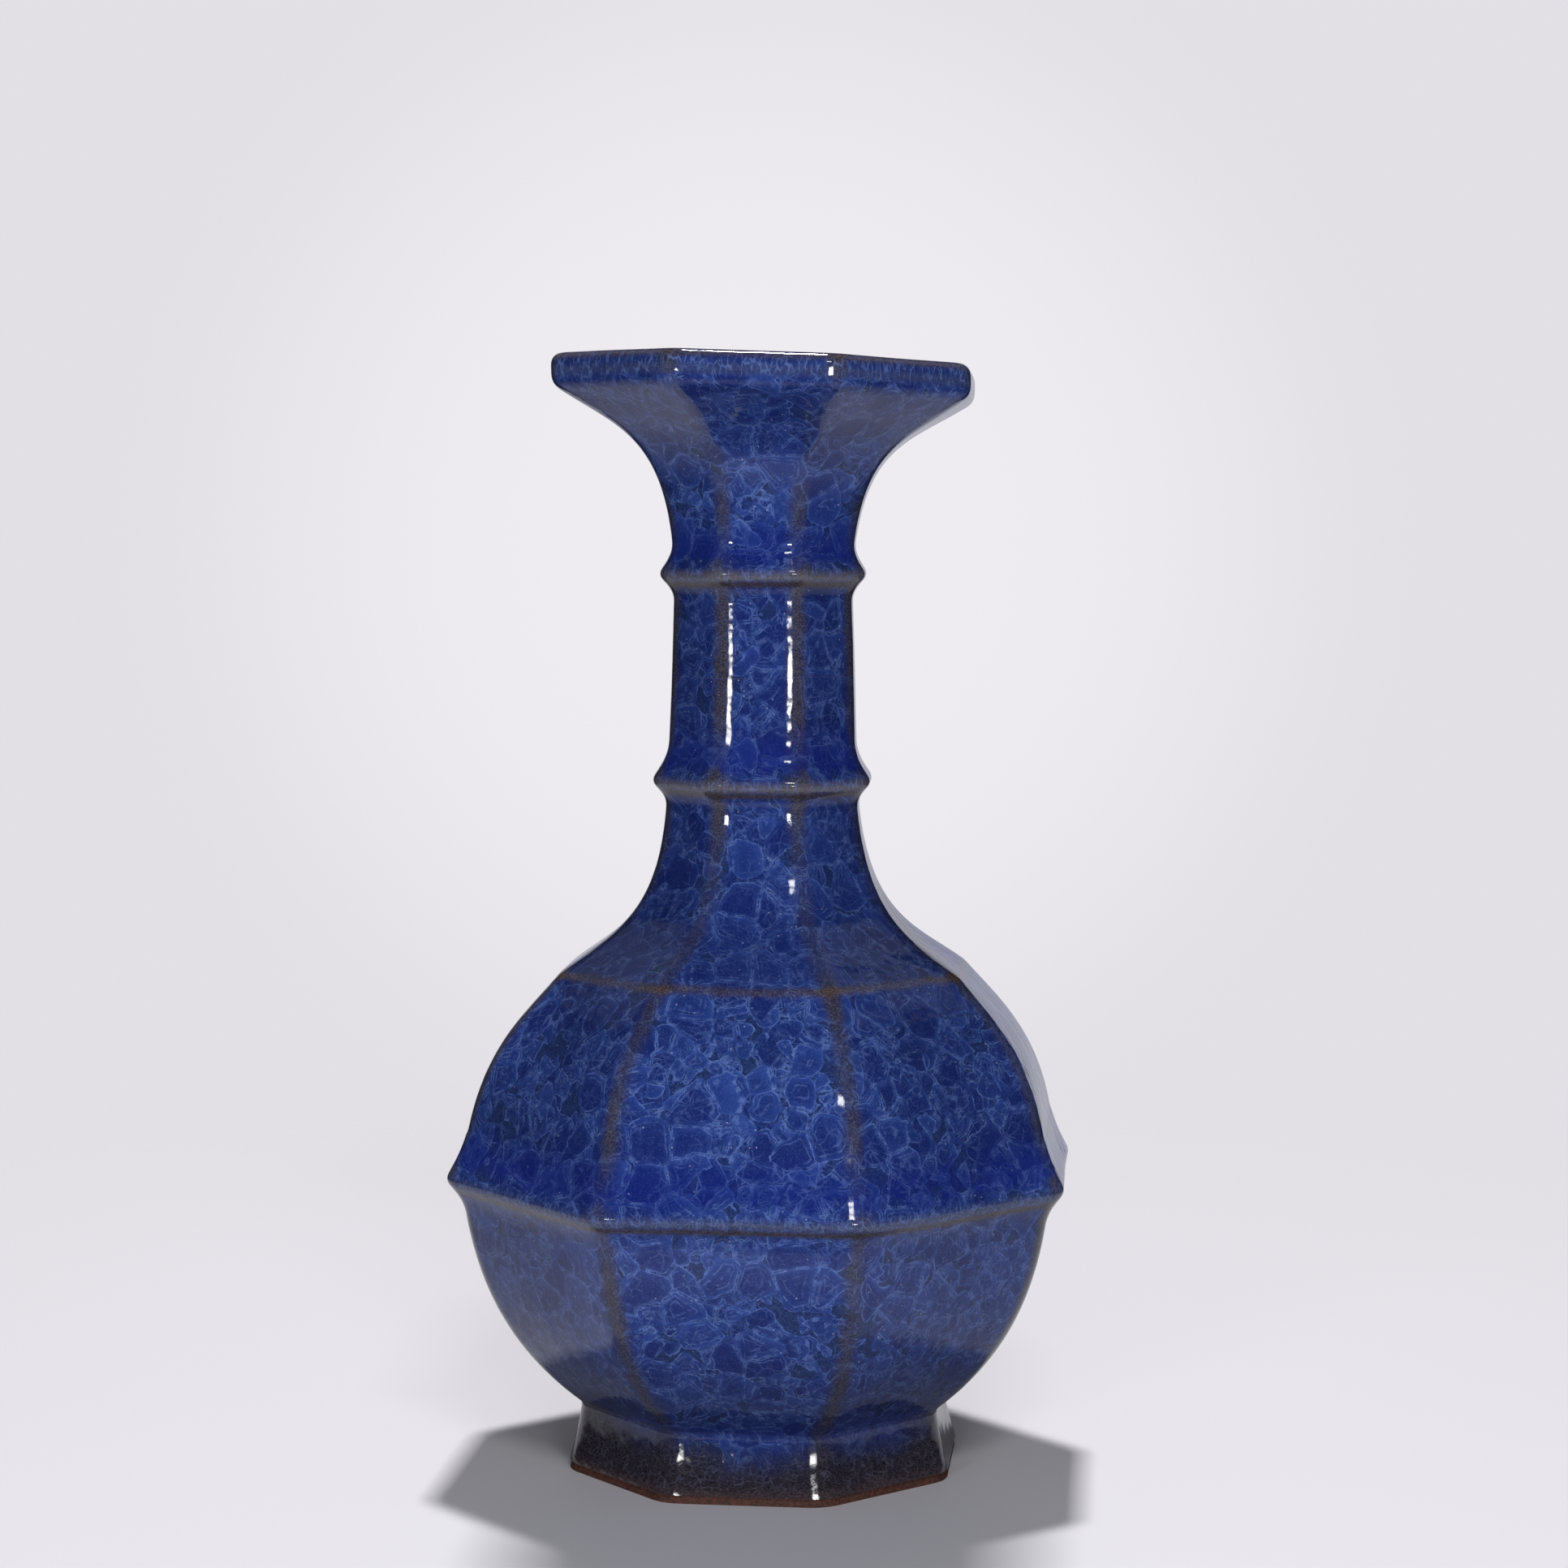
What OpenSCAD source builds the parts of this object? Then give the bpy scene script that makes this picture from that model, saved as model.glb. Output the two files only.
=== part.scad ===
// Bottle vase with flat facets all round: a spreading foot, a full bowl with a ridge
// at its widest, a round shoulder, and a tall neck with two rings and a flared mouth.
// It is built up as a potter builds it: pressed clay sections stand on one another
// with a layer of slip in each joint, a band covers the joint at the ridge and at each
// ring, and glaze lies over the clay inside and out, except on the foot's edge.
// Millimetres, +Z up, the origin on the ground at the middle of the foot.

/* [Facets] */
// Number of flat sides
sides = 8; // [6:2:12]

/* [Foot] */
// Width across the flats on the ground
foot_w = 104; // [94:1:112]
// Width across the flats at the waist, where foot and bowl meet
waist_w = 95.6; // [88:1:102]
// Height of the waist above the ground
waist_h = 18; // [16:0.5:22]
// Thickness of the foot's wall on the ground
foot_t = 7; // [5:0.5:9]
// Depth of the hollow under the floor
recess_h = 9.2; // [7:0.2:10]
// Height of the bare clay edge of the foot
bare_edge_h = 2.8; // [1:0.2:5]
// Thickness of the clay floor
floor_t = 6.8; // [5:0.2:8]

/* [Bowl and shoulder] */
// Width across the flats of the plain bowl, behind the ridge
belly_w = 156.6; // [140:1:170]
// Height of the bowl, from the waist to the ridge
belly_rise = 62.5; // [50:0.5:80]
// Width across the flats at the crease above the bowl
crease_w = 107; // [97:1:117]
// Height from the ridge to the crease
crease_rise = 54.5; // [48:0.5:64]
// How far the ridge stands proud of the bowl
ridge_proud = 3.7; // [2.5:0.1:5]

/* [Neck] */
// Width across the flats at the lower ring, behind it
neck_foot_w = 51; // [45:0.5:58]
// Height from the crease to the lower ring
neck_foot_rise = 51; // [44:0.5:60]
// Width across the flats at the upper ring, behind it
neck_top_w = 47.6; // [42:0.5:54]
// Height from the lower ring to the upper ring
neck_rise = 55.5; // [40:0.5:80]
// How far each ring stands proud of the neck
ring_proud = 3.8; // [2.5:0.1:5]

/* [Mouth] */
// Width across the flats of the mouth
mouth_w = 111; // [97:1:125]
// Height from the upper ring to the top
mouth_rise = 58.5; // [50:0.5:70]
// Height of the lip, from the end of the flare to the top
lip_h = 11; // [9:0.5:13]
// Height of the lip's slanting underside
lip_under_h = 2.4; // [1.6:0.1:3]

/* [Wall and glaze] */
// Thickness of the clay wall
clay_t = 4.4; // [3.4:0.1:5]
// Thickness of the glaze
glaze_t = 0.8; // [0.6:0.1:1]
// Thickness of the slip in each joint
slip_t = 0.8; // [0.5:0.1:1.2]

/* [Hidden] */

// Straight pieces in a long curve, in a short one and in a rounding
long_steps = 12;
short_steps = 5;
round_steps = 24;

// Heights of the levels, from the ground up
belly_z = waist_h + belly_rise;
crease_z = belly_z + crease_rise;
lower_ring_z = crease_z + neck_foot_rise;
upper_ring_z = lower_ring_z + neck_rise;
top_z = upper_ring_z + mouth_rise;
flare_z = top_z - lip_h;

// Lean from upright at both ends of each curve, in degrees, outwards as it rises
foot_leans = [-16, -4];
bowl_leans = [50, 4];
upper_leans = [-4, -40];
shoulder_leans = [-52, -1];
flare_leans = [3, 57];
lip_inner_lean = 35;

// Pull of each end of a curve, as a share of the straight line between its ends
foot_pull_shares = [0.3, 0.3];
bowl_pull_shares = [0.22, 0.52];
upper_pull_shares = [0.56, 0.28];
shoulder_pull_shares = [0.28, 0.64];
flare_pull_shares = [0.64, 0.32];

// Width across the flats where the flare ends and the underside of the lip goes on
flare_w = mouth_w - 2 * lip_under_h * tan(flare_leans[1]);

// Roundings of the cove at the waist, the nose of each band and the edge of the lip
cove_r = 4;
nose_r = 2.2;
lip_r = 2.4;

// Angles between which the nose of a band is round, up from level
nose_from = -40;
nose_to = 30;

// Reach of the ridge above and below its crest, down to its root in the wall
ridge_above = 12.4;
ridge_below = 8.4;

// The same for the rings on the neck
ring_above = 10;
ring_below = 7.4;

// Bare height of the foot's inner face
base_bare_h = 3.4;

// Whole thickness of the wall with its glaze on both sides
wall_t = clay_t + 2 * glaze_t;

// Levels of the joints in the clay
floor_under_z = recess_h + glaze_t;
floor_top_z = floor_under_z + floor_t;

// Room beyond the pot for cuts and for outlines that run past an edge
reach = mouth_w + belly_w;
over = 2 * wall_t;

clay_colour = [0.42, 0.25, 0.17];
slip_colour = [0.55, 0.40, 0.30];
glaze_colour = [0.08, 0.16, 0.48];

// Point on a curve that leaves p0 towards p1 and arrives at p3 from p2
function curve_point(p0, p1, p2, p3, t) =
    pow(1 - t, 3) * p0 + 3 * pow(1 - t, 2) * t * p1
    + 3 * (1 - t) * pow(t, 2) * p2 + pow(t, 3) * p3;

// Points of the curve from one point to another with the leans and pulls given
function sweep(from, to, leans, pull_shares, steps) =
    let (
        chord = norm(to - from),
        leave = [sin(leans[0]), cos(leans[0])],
        arrive = [sin(leans[1]), cos(leans[1])],
        p1 = from + pull_shares[0] * chord * leave,
        p2 = to - pull_shares[1] * chord * arrive
    )
    [for (i = [0:steps]) curve_point(from, p1, p2, to, i / steps)];

// Points of an arc round a centre, from one angle to another
function arc(centre, r, from_angle, to_angle, steps) =
    [for (i = [0:steps])
        let (angle = from_angle + (to_angle - from_angle) * i / steps)
        centre + r * [cos(angle), sin(angle)]];

// Points on the profile: half the width across the flats, and the height
foot_edge = [foot_w / 2, 0];
waist = [waist_w / 2, waist_h];
belly = [belly_w / 2, belly_z];
crease = [crease_w / 2, crease_z];
neck_foot = [neck_foot_w / 2, lower_ring_z];
neck_top = [neck_top_w / 2, upper_ring_z];
flare_end = [flare_w / 2, flare_z];

// The plain profile from the ground to the end of the flare
profile = concat(
    sweep(foot_edge, waist, foot_leans, foot_pull_shares, short_steps),
    sweep(waist, belly, bowl_leans, bowl_pull_shares, long_steps),
    sweep(belly, crease, upper_leans, upper_pull_shares, long_steps),
    sweep(crease, neck_foot, shoulder_leans, shoulder_pull_shares, long_steps),
    sweep(neck_top, flare_end, flare_leans, flare_pull_shares, long_steps)
);

// Turns a half outline into a solid with flat sides, one of them facing -Y. The
// outline's widths are across the flats, so they grow to the corners here.
module faceted() {
    rotate([0, 0, 180 / sides])
        rotate_extrude($fn = sides)
            scale([1 / cos(180 / sides), 1])
                intersection() {
                    children();
                    square([reach, top_z + over]);
                }
}

// Everything of an outline between two heights
module between(low_z, high_z) {
    intersection() {
        children();
        translate([-over, low_z])
            square([reach, high_z - low_z]);
    }
}

// The outer outline, filled to the axis, up to the rounded edge of the lip
module sharp_outline() {
    lip_edge = [mouth_w / 2 - lip_r, top_z - lip_r];
    polygon(concat(
        [[-over, -over], [foot_w / 2, -over]],
        profile,
        [[mouth_w / 2, flare_z + lip_under_h]],
        arc(lip_edge, lip_r, 0, 90, short_steps),
        [[-over, top_z]]
    ));
}

// The same with the cove at the waist
module filled_outline() {
    sharp_outline();
    between(waist_h - 2 * cove_r, waist_h + 2 * cove_r)
        offset(r = -cove_r, $fn = 2 * round_steps)
            offset(delta = cove_r)
                sharp_outline();
}

// The outline with the inside of the lip running on upwards, past the top
module open_outline() {
    run = lip_h + 2 * wall_t;
    polygon(concat(
        [[-over, -over]],
        profile,
        [flare_end + run * [tan(lip_inner_lean), 1]],
        [[-over, flare_z + run]]
    ));
}

// Everything inside the wall, as if the vase had no floor
module inside_outline() {
    offset(delta = -wall_t)
        open_outline();
}

// Everything inside the foot, as if the vase had no floor
module foot_inside_outline() {
    translate([-foot_t, 0])
        sharp_outline();
}

// The hollow of the vase, down to the glaze on its floor
module hollow_outline() {
    between(floor_top_z + glaze_t, top_z + over)
        inside_outline();
}

// The hollow inside the foot, under the floor
module recess_outline() {
    between(-over, recess_h)
        foot_inside_outline();
}

// A band round the pot: a rounded nose, sloping back above and below to its root
module band_outline(wall, proud, below, above) {
    root = wall[0] - clay_t / 2;
    nose = [wall[0] + proud - nose_r, wall[1]];
    polygon(concat(
        [[root, wall[1] - below]],
        arc(nose, nose_r, nose_from, nose_to, short_steps),
        [[root, wall[1] + above]]
    ));
}

module ridge_outline() {
    band_outline(belly, ridge_proud, ridge_below, ridge_above);
}

module ring_outline(wall) {
    band_outline(wall, ring_proud, ring_below, ring_above);
}

// The whole wall with its bands and its glaze
module glazed_outline() {
    difference() {
        union() {
            filled_outline();
            ridge_outline();
            ring_outline(neck_foot);
            ring_outline(neck_top);
        }
        hollow_outline();
        recess_outline();
    }
}

// The clay of the plain outline under its glaze, between two heights and with what
// the children take out of it
module clay_section(low_z, high_z, colour) {
    color(colour)
        faceted()
            between(low_z, high_z)
                offset(delta = -glaze_t)
                    difference() {
                        filled_outline();
                        children();
                    }
}

// One section or slip layer of the clay wall, above the floor
module wall_section(low_z, high_z, colour) {
    clay_section(low_z, high_z, colour)
        inside_outline();
}

// One section or slip layer of the foot, under the floor
module foot_section(low_z, high_z, colour) {
    clay_section(low_z, high_z, colour)
        foot_inside_outline();
}

// The clay of one band, on the outside of the clay wall
module clay_band() {
    color(clay_colour)
        faceted()
            difference() {
                offset(delta = -glaze_t)
                    children();
                offset(delta = -glaze_t)
                    filled_outline();
            }
}

module foot_ring() {
    foot_section(0, floor_under_z - slip_t, clay_colour);
}

module foot_slip() {
    foot_section(floor_under_z - slip_t, floor_under_z, slip_colour);
}

module base_floor() {
    clay_section(floor_under_z, floor_top_z, clay_colour);
}

module bowl_slip() {
    wall_section(floor_top_z, floor_top_z + slip_t, slip_colour);
}

module lower_body() {
    wall_section(floor_top_z + slip_t, belly_z - slip_t, clay_colour);
}

module belly_slip() {
    wall_section(belly_z - slip_t, belly_z, slip_colour);
}

module belly_ridge() {
    clay_band()
        ridge_outline();
}

module upper_body() {
    wall_section(belly_z, crease_z - slip_t, clay_colour);
}

module shoulder_slip() {
    wall_section(crease_z - slip_t, crease_z, slip_colour);
}

module neck_base() {
    wall_section(crease_z, lower_ring_z - slip_t, clay_colour);
}

module lower_ring_slip() {
    wall_section(lower_ring_z - slip_t, lower_ring_z, slip_colour);
}

module lower_neck_ring() {
    clay_band()
        ring_outline(neck_foot);
}

module neck_tube() {
    wall_section(lower_ring_z, upper_ring_z - slip_t, clay_colour);
}

module upper_ring_slip() {
    wall_section(upper_ring_z - slip_t, upper_ring_z, slip_colour);
}

module upper_neck_ring() {
    clay_band()
        ring_outline(neck_top);
}

module mouth_trumpet() {
    wall_section(upper_ring_z, flare_z - slip_t, clay_colour);
}

module lip_slip() {
    wall_section(flare_z - slip_t, flare_z, slip_colour);
}

module lip_rim() {
    wall_section(flare_z, top_z, clay_colour);
}

// The skin of glaze all over the wall
module glaze_outline() {
    difference() {
        glazed_outline();
        offset(delta = -glaze_t)
            glazed_outline();
    }
}

// Everything on the hollow's side of the middle of the wall
module inner_side() {
    between(floor_top_z - floor_t / 2, top_z + over)
        offset(delta = -wall_t / 2)
            open_outline();
}

// Everything on the hollow's side of the middle of the foot, under the floor
module under_side() {
    offset(delta = foot_t / 2)
        recess_outline();
}

module outer_glaze() {
    color(glaze_colour)
        faceted()
            between(bare_edge_h, top_z)
                difference() {
                    glaze_outline();
                    inner_side();
                    under_side();
                }
}

module inner_glaze() {
    color(glaze_colour)
        faceted()
            intersection() {
                glaze_outline();
                inner_side();
            }
}

module base_glaze() {
    color(glaze_colour)
        faceted()
            between(base_bare_h, floor_top_z)
                intersection() {
                    glaze_outline();
                    under_side();
                }
}

foot_ring();
foot_slip();
base_floor();
bowl_slip();
lower_body();
belly_slip();
belly_ridge();
upper_body();
shoulder_slip();
neck_base();
lower_ring_slip();
lower_neck_ring();
neck_tube();
upper_ring_slip();
upper_neck_ring();
mouth_trumpet();
lip_slip();
lip_rim();
outer_glaze();
inner_glaze();
base_glaze();
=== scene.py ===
import math
from functools import reduce

import bpy
import numpy as np
from mathutils import Matrix, Vector

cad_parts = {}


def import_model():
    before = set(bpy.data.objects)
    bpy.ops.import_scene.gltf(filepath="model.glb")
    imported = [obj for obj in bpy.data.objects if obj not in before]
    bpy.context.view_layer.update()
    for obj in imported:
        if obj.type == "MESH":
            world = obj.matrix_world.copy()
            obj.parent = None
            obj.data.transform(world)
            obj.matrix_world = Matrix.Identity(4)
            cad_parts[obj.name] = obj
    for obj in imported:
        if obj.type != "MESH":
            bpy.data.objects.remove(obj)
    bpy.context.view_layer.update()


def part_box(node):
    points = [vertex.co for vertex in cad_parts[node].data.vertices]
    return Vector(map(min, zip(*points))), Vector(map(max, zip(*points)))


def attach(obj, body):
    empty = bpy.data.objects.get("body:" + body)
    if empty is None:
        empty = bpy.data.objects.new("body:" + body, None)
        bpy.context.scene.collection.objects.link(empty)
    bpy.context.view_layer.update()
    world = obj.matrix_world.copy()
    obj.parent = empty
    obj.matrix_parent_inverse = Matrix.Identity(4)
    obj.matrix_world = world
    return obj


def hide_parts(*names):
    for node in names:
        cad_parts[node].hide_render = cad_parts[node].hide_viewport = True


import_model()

# Sizes of the vase in metres, with widths across the flats
MM = 0.001
SIDES = 8
SIDE_TURN = 2 * math.pi / SIDES

FOOT_W = 104 * MM
WAIST_W = 95.6 * MM
WAIST_H = 18 * MM
FOOT_T = 7 * MM
BELLY_W = 156.6 * MM
CREASE_W = 107 * MM
NECK_FOOT_W = 51 * MM
NECK_TOP_W = 47.6 * MM
MOUTH_W = 111 * MM
LIP_UNDER_H = 2.4 * MM
LIP_TOP_R = 3.2 * MM
LIP_LOW_R = 4.4 * MM
LIP_INNER_LEAN = 35
BARE_EDGE_H = 1.8 * MM
BASE_BARE_H = 3.4 * MM

# How far each band stands proud of the wall and reaches below and above its nose
RIDGE = {"proud": 3.7 * MM, "below": 8.4 * MM, "above": 12.4 * MM}
RING = {"proud": 3.8 * MM, "below": 7.4 * MM, "above": 10 * MM}
NOSE_R = 2.2 * MM
NOSE_FROM, NOSE_TO = -40, 30
BAND_THINNEST = 0.1 * MM

# Lean from upright, in degrees, and pull of both ends of each curve of the wall
FOOT_CURVE = {"leans": (-16, -4), "pulls": (0.3, 0.3)}
BOWL_CURVE = {"leans": (50, 4), "pulls": (0.22, 0.52)}
UPPER_CURVE = {"leans": (-4, -40), "pulls": (0.56, 0.28)}
SHOULDER_CURVE = {"leans": (-52, -1), "pulls": (0.28, 0.64)}
FLARE_CURVE = {"leans": (3, 57), "pulls": (0.64, 0.32)}

# Spacing of the points on the outside and inside, and how far the glaze softens edges
FINE_STEP = 0.9 * MM
COARSE_STEP = 3 * MM
SOFTENING = 0.55 * MM
SOFTENING_SPAN = 3
BAND_FILLET = 2.2 * MM


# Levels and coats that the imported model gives
def lowest(node):
    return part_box(node)[0].z


def highest(node):
    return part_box(node)[1].z


TOP_Z = highest("inner_glaze")
BELLY_Z = lowest("upper_body")
CREASE_Z = lowest("neck_base")
LOWER_RING_Z = lowest("neck_tube")
UPPER_RING_Z = lowest("mouth_trumpet")
FLARE_Z = lowest("lip_rim")
FLOOR_UNDER_Z = lowest("base_floor")
FLOOR_TOP_Z = highest("base_floor")
GLAZE_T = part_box("outer_glaze")[1].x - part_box("belly_ridge")[1].x
CLAY_T = 4.4 * MM
WALL_T = CLAY_T + 2 * GLAZE_T

BANDS = [
    ((BELLY_W / 2, BELLY_Z), RIDGE),
    ((NECK_FOOT_W / 2, LOWER_RING_Z), RING),
    ((NECK_TOP_W / 2, UPPER_RING_Z), RING),
]

# Radius of the upright corners, from the ground up, and its limits
CORNER_LEVELS = (0, WAIST_H, BELLY_Z, CREASE_Z, LOWER_RING_Z, UPPER_RING_Z, FLARE_Z, TOP_Z)
CORNER_RADII = [r * MM for r in (12, 11, 10, 10, 9.5, 9.5, 9, 8)]
LEAST_CORNER_R = 2 * MM
MOST_CORNER_SHARE = 0.7


# Lines of the outline: points of half the width across the flats, and height
def sweep(start, end, leans, pulls, steps=48):
    """A curve between two points that leaves and arrives with the given leans."""
    start, end = np.array(start), np.array(end)
    chord = np.linalg.norm(end - start)
    leave, arrive = (np.array([math.sin(a), math.cos(a)]) for a in map(math.radians, leans))
    near_start = start + pulls[0] * chord * leave
    near_end = end - pulls[1] * chord * arrive
    t = np.linspace(0, 1, steps + 1)[:, None]
    return ((1 - t) ** 3 * start + 3 * (1 - t) ** 2 * t * near_start
            + 3 * (1 - t) * t ** 2 * near_end + t ** 3 * end)


def arc(centre, radius, start, end, steps=12):
    angles = np.radians(np.linspace(start, end, steps + 1))
    return np.array(centre) + radius * np.column_stack([np.cos(angles), np.sin(angles)])


def gone_along(line):
    """How far along the line each of its points is."""
    return np.concatenate([[0], np.cumsum(np.linalg.norm(np.diff(line, axis=0), axis=1))])


def spread(line, step):
    """The same line with its points evenly spaced."""
    gone = gone_along(line)
    there = np.linspace(0, gone[-1], max(2, round(gone[-1] / step) + 1))
    return np.column_stack([np.interp(there, gone, line[:, i]) for i in (0, 1)])


def softened(line, reach=SOFTENING, step=FINE_STEP / 2):
    """The line with its edges rounded, as a coat of glaze rounds them."""
    line = spread(line, step)
    width = int(SOFTENING_SPAN * reach / step)
    weights = np.exp(-0.5 * (np.arange(-width, width + 1) * step / reach) ** 2)
    weights /= weights.sum()
    before = 2 * line[0] - line[1:width + 1][::-1]
    after = 2 * line[-1] - line[-width - 1:-1][::-1]
    longer = np.vstack([before, line, after])
    return np.column_stack([np.convolve(longer[:, i], weights, "valid") for i in (0, 1)])


def moved_in(line, distance):
    """The line moved into the wall, which lies to its left."""
    along = np.gradient(line, axis=0)
    along /= np.linalg.norm(along, axis=1)[:, None]
    return line + distance * np.column_stack([-along[:, 1], along[:, 0]])


def stretch(line, low, high, step=COARSE_STEP):
    """The part of a line between two heights, from the lower to the upper."""
    order = np.argsort(line[:, 1])
    z = np.linspace(low, high, max(2, round((high - low) / step) + 1))
    return np.column_stack([np.interp(z, line[order, 1], line[order, 0]), z])


def part_above(line, z):
    return line[line[:, 1] > z]


def wall_line():
    """The outside of the plain wall, from the ground to the end of the flare."""
    flare_w = MOUTH_W - 2 * LIP_UNDER_H * math.tan(math.radians(FLARE_CURVE["leans"][1]))
    foot, waist = (FOOT_W / 2, 0), (WAIST_W / 2, WAIST_H)
    belly, crease = (BELLY_W / 2, BELLY_Z), (CREASE_W / 2, CREASE_Z)
    neck_foot, neck_top = (NECK_FOOT_W / 2, LOWER_RING_Z), (NECK_TOP_W / 2, UPPER_RING_Z)
    return np.vstack([
        sweep(foot, waist, **FOOT_CURVE), sweep(waist, belly, **BOWL_CURVE)[1:],
        sweep(belly, crease, **UPPER_CURVE)[1:], sweep(crease, neck_foot, **SHOULDER_CURVE)[1:],
        sweep(neck_top, (flare_w / 2, FLARE_Z), **FLARE_CURVE),
    ])


def band_line(wall, proud, below, above):
    """A band from its lower root in the clay, round its nose, to its upper root."""
    root = wall[0] - CLAY_T / 2
    nose = arc((wall[0] + proud - NOSE_R, wall[1]), NOSE_R, NOSE_FROM, NOSE_TO)
    return np.vstack([[(root, wall[1] - below)], nose, [(root, wall[1] + above)]])


def with_bands(line):
    """The wall's line with each band on it, in a soft fillet."""
    line = spread(line, FINE_STEP / 3)
    for wall, sizes in BANDS:
        band = band_line(wall, **sizes)
        out = np.interp(line[:, 1], band[:, 1], band[:, 0], left=0, right=0)
        meeting = np.maximum(1 - np.abs(line[:, 0] - out) / BAND_FILLET, 0)
        line[:, 0] = np.maximum(line[:, 0], out) + meeting ** 2 * BAND_FILLET / 4
    return line


def lip_line():
    """The lip's round edge, from the end of the flare up and over to its top."""
    lean = FLARE_CURVE["leans"][1]
    rise = LIP_LOW_R * math.tan(math.radians(lean / 2))
    low = (MOUTH_W / 2 - LIP_LOW_R, FLARE_Z + LIP_UNDER_H + rise)
    top = (MOUTH_W / 2 - LIP_TOP_R, TOP_Z - LIP_TOP_R)
    return np.vstack([arc(low, LIP_LOW_R, -lean, 0), arc(top, LIP_TOP_R, 0, 90)])


def inner_line():
    """The inside of the wall, from the lip down to the floor and in to the axis."""
    wall = wall_line()
    past_top = 2 * (TOP_Z - FLARE_Z)
    lip = wall[-1] + (past_top * math.tan(math.radians(LIP_INNER_LEAN)), past_top)
    inner = moved_in(spread(np.vstack([wall, [lip]]), FINE_STEP), WALL_T)
    floor_z = FLOOR_TOP_Z + GLAZE_T
    inner = inner[(inner[:, 1] > floor_z) & (inner[:, 1] < TOP_Z)]
    return np.vstack([inner[::-1], [(inner[0][0], floor_z), (0, floor_z)]])


def under_line():
    """The hollow of the foot, from the axis out and down to the ground."""
    wall = wall_line()
    roof_z = FLOOR_UNDER_Z - GLAZE_T
    side = wall[wall[:, 1] < roof_z] - (FOOT_T, 0)
    return np.vstack([[(0, roof_z), (side[-1][0], roof_z)], side[::-1]])


shape = softened(np.vstack([with_bands(wall_line()), lip_line(), inner_line()]))
crest = int(np.argmax(shape[:, 1]))
outside, inside = shape[:crest + 1], shape[crest:]
plain_outside = softened(wall_line())
underside = softened(under_line())

clay_shape = moved_in(shape, GLAZE_T)
clay_outside, clay_inside = moved_in(plain_outside, GLAZE_T), clay_shape[crest:]
clay_underside = moved_in(underside, GLAZE_T)

# Marks that the glaze follows: how far a point is from each edge, along the outside
MARKS = ("band_gap", "crease_gap", "foot_gap", "lip_gap")
FAR = 1.0


def marks_of(line, at_lip):
    """The marks of a line's points, where at_lip is how far it starts from the lip."""
    rise = gone_along(outside)
    noses = [float(np.interp(wall[1], outside[:, 1], rise)) for wall, _ in BANDS]
    crease = float(np.interp(CREASE_Z, outside[:, 1], rise))
    here = np.interp(line[:, 1], outside[:, 1], rise)
    from_noses = np.array([here - nose for nose in noses])
    nearest = np.argmin(np.abs(from_noses), axis=0)
    return {
        "band_gap": from_noses[nearest, np.arange(len(line))],
        "crease_gap": here - crease,
        "foot_gap": here,
        "lip_gap": gone_along(line) + at_lip,
    }


def far_marks(line):
    """The marks of points that lie far from every edge of the outside."""
    return {key: np.full(len(line), FAR) for key in MARKS}


def corner_radii(line):
    """Radius of the corners at each point, less on what lies inside the wall."""
    depth = np.interp(line[:, 1], plain_outside[:, 1], plain_outside[:, 0]) - line[:, 0]
    radii = np.interp(line[:, 1], CORNER_LEVELS, CORNER_RADII) - np.maximum(depth, 0)
    return np.minimum(np.maximum(radii, LEAST_CORNER_R), MOST_CORNER_SHARE * line[:, 0])


# Points round the vase for each side: shares of the flat, then turns round its corner
FLAT_SHARES = [-1, -0.86, -0.6, -0.3, 0, 0.3, 0.6, 0.86, 1]
CORNER_STEPS = 8


def round_steps():
    """Facing of the side, share of its flat and turn at its corner, for each point."""
    steps = []
    for side in range(SIDES):
        facing = side * SIDE_TURN - math.pi / 2
        steps += [(facing, share, 0) for share in FLAT_SHARES]
        steps += [(facing, 1, SIDE_TURN * i / CORNER_STEPS) for i in range(1, CORNER_STEPS)]
    return np.array(steps)


def ring_faces(rows, columns, closed):
    last = rows if closed else rows - 1
    return [(r * columns + c, r * columns + (c + 1) % columns,
             (r + 1) % rows * columns + (c + 1) % columns, (r + 1) % rows * columns + c)
            for r in range(last) for c in range(columns)]


def ring_values(line, marks):
    """What each point of the rings keeps: its sizes, its step round the vase, its marks."""
    facing, share, turn = round_steps().T
    radii = corner_radii(line)
    flat = (line[:, 0] - radii) * math.tan(SIDE_TURN / 2)
    to_bend = flat[:, None] * (1 - np.abs(share))[None]
    round_bend = radii[:, None] * np.abs(turn - SIDE_TURN / 2)[None]
    by_row = {"half_width": line[:, 0], "height": line[:, 1], "corner_r": radii, **marks}
    by_column = {"facing": facing, "share": share, "turn": turn}
    values = {key: np.repeat(value, len(facing)) for key, value in by_row.items()}
    values.update({key: np.tile(value, len(line)) for key, value in by_column.items()})
    values["corner_gap"] = (to_bend + round_bend).ravel()
    return values


def new_object(name, mesh):
    piece = bpy.data.objects.new(name, mesh)
    bpy.context.scene.collection.objects.link(piece)
    return piece


def ring_mesh(name, line, marks, closed):
    """Rings of points, one for each point of the line, still without their places."""
    rows, columns = len(line), len(round_steps())
    mesh = bpy.data.meshes.new(name)
    mesh.from_pydata([(0, 0, 0)] * (rows * columns), [], ring_faces(rows, columns, closed))
    for key, value in ring_values(line, marks).items():
        layer = mesh.attributes.new(key, "FLOAT", "POINT")
        layer.data.foreach_set("value", value.astype(np.float32))
    return new_object(name, mesh)


# The mean of a noise, the middle of its colours, and how uneven a pattern of cells is
MEAN = 0.5
MIDDLE = (MEAN, MEAN, MEAN)
CELL_RANDOMNESS = 0.85


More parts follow.
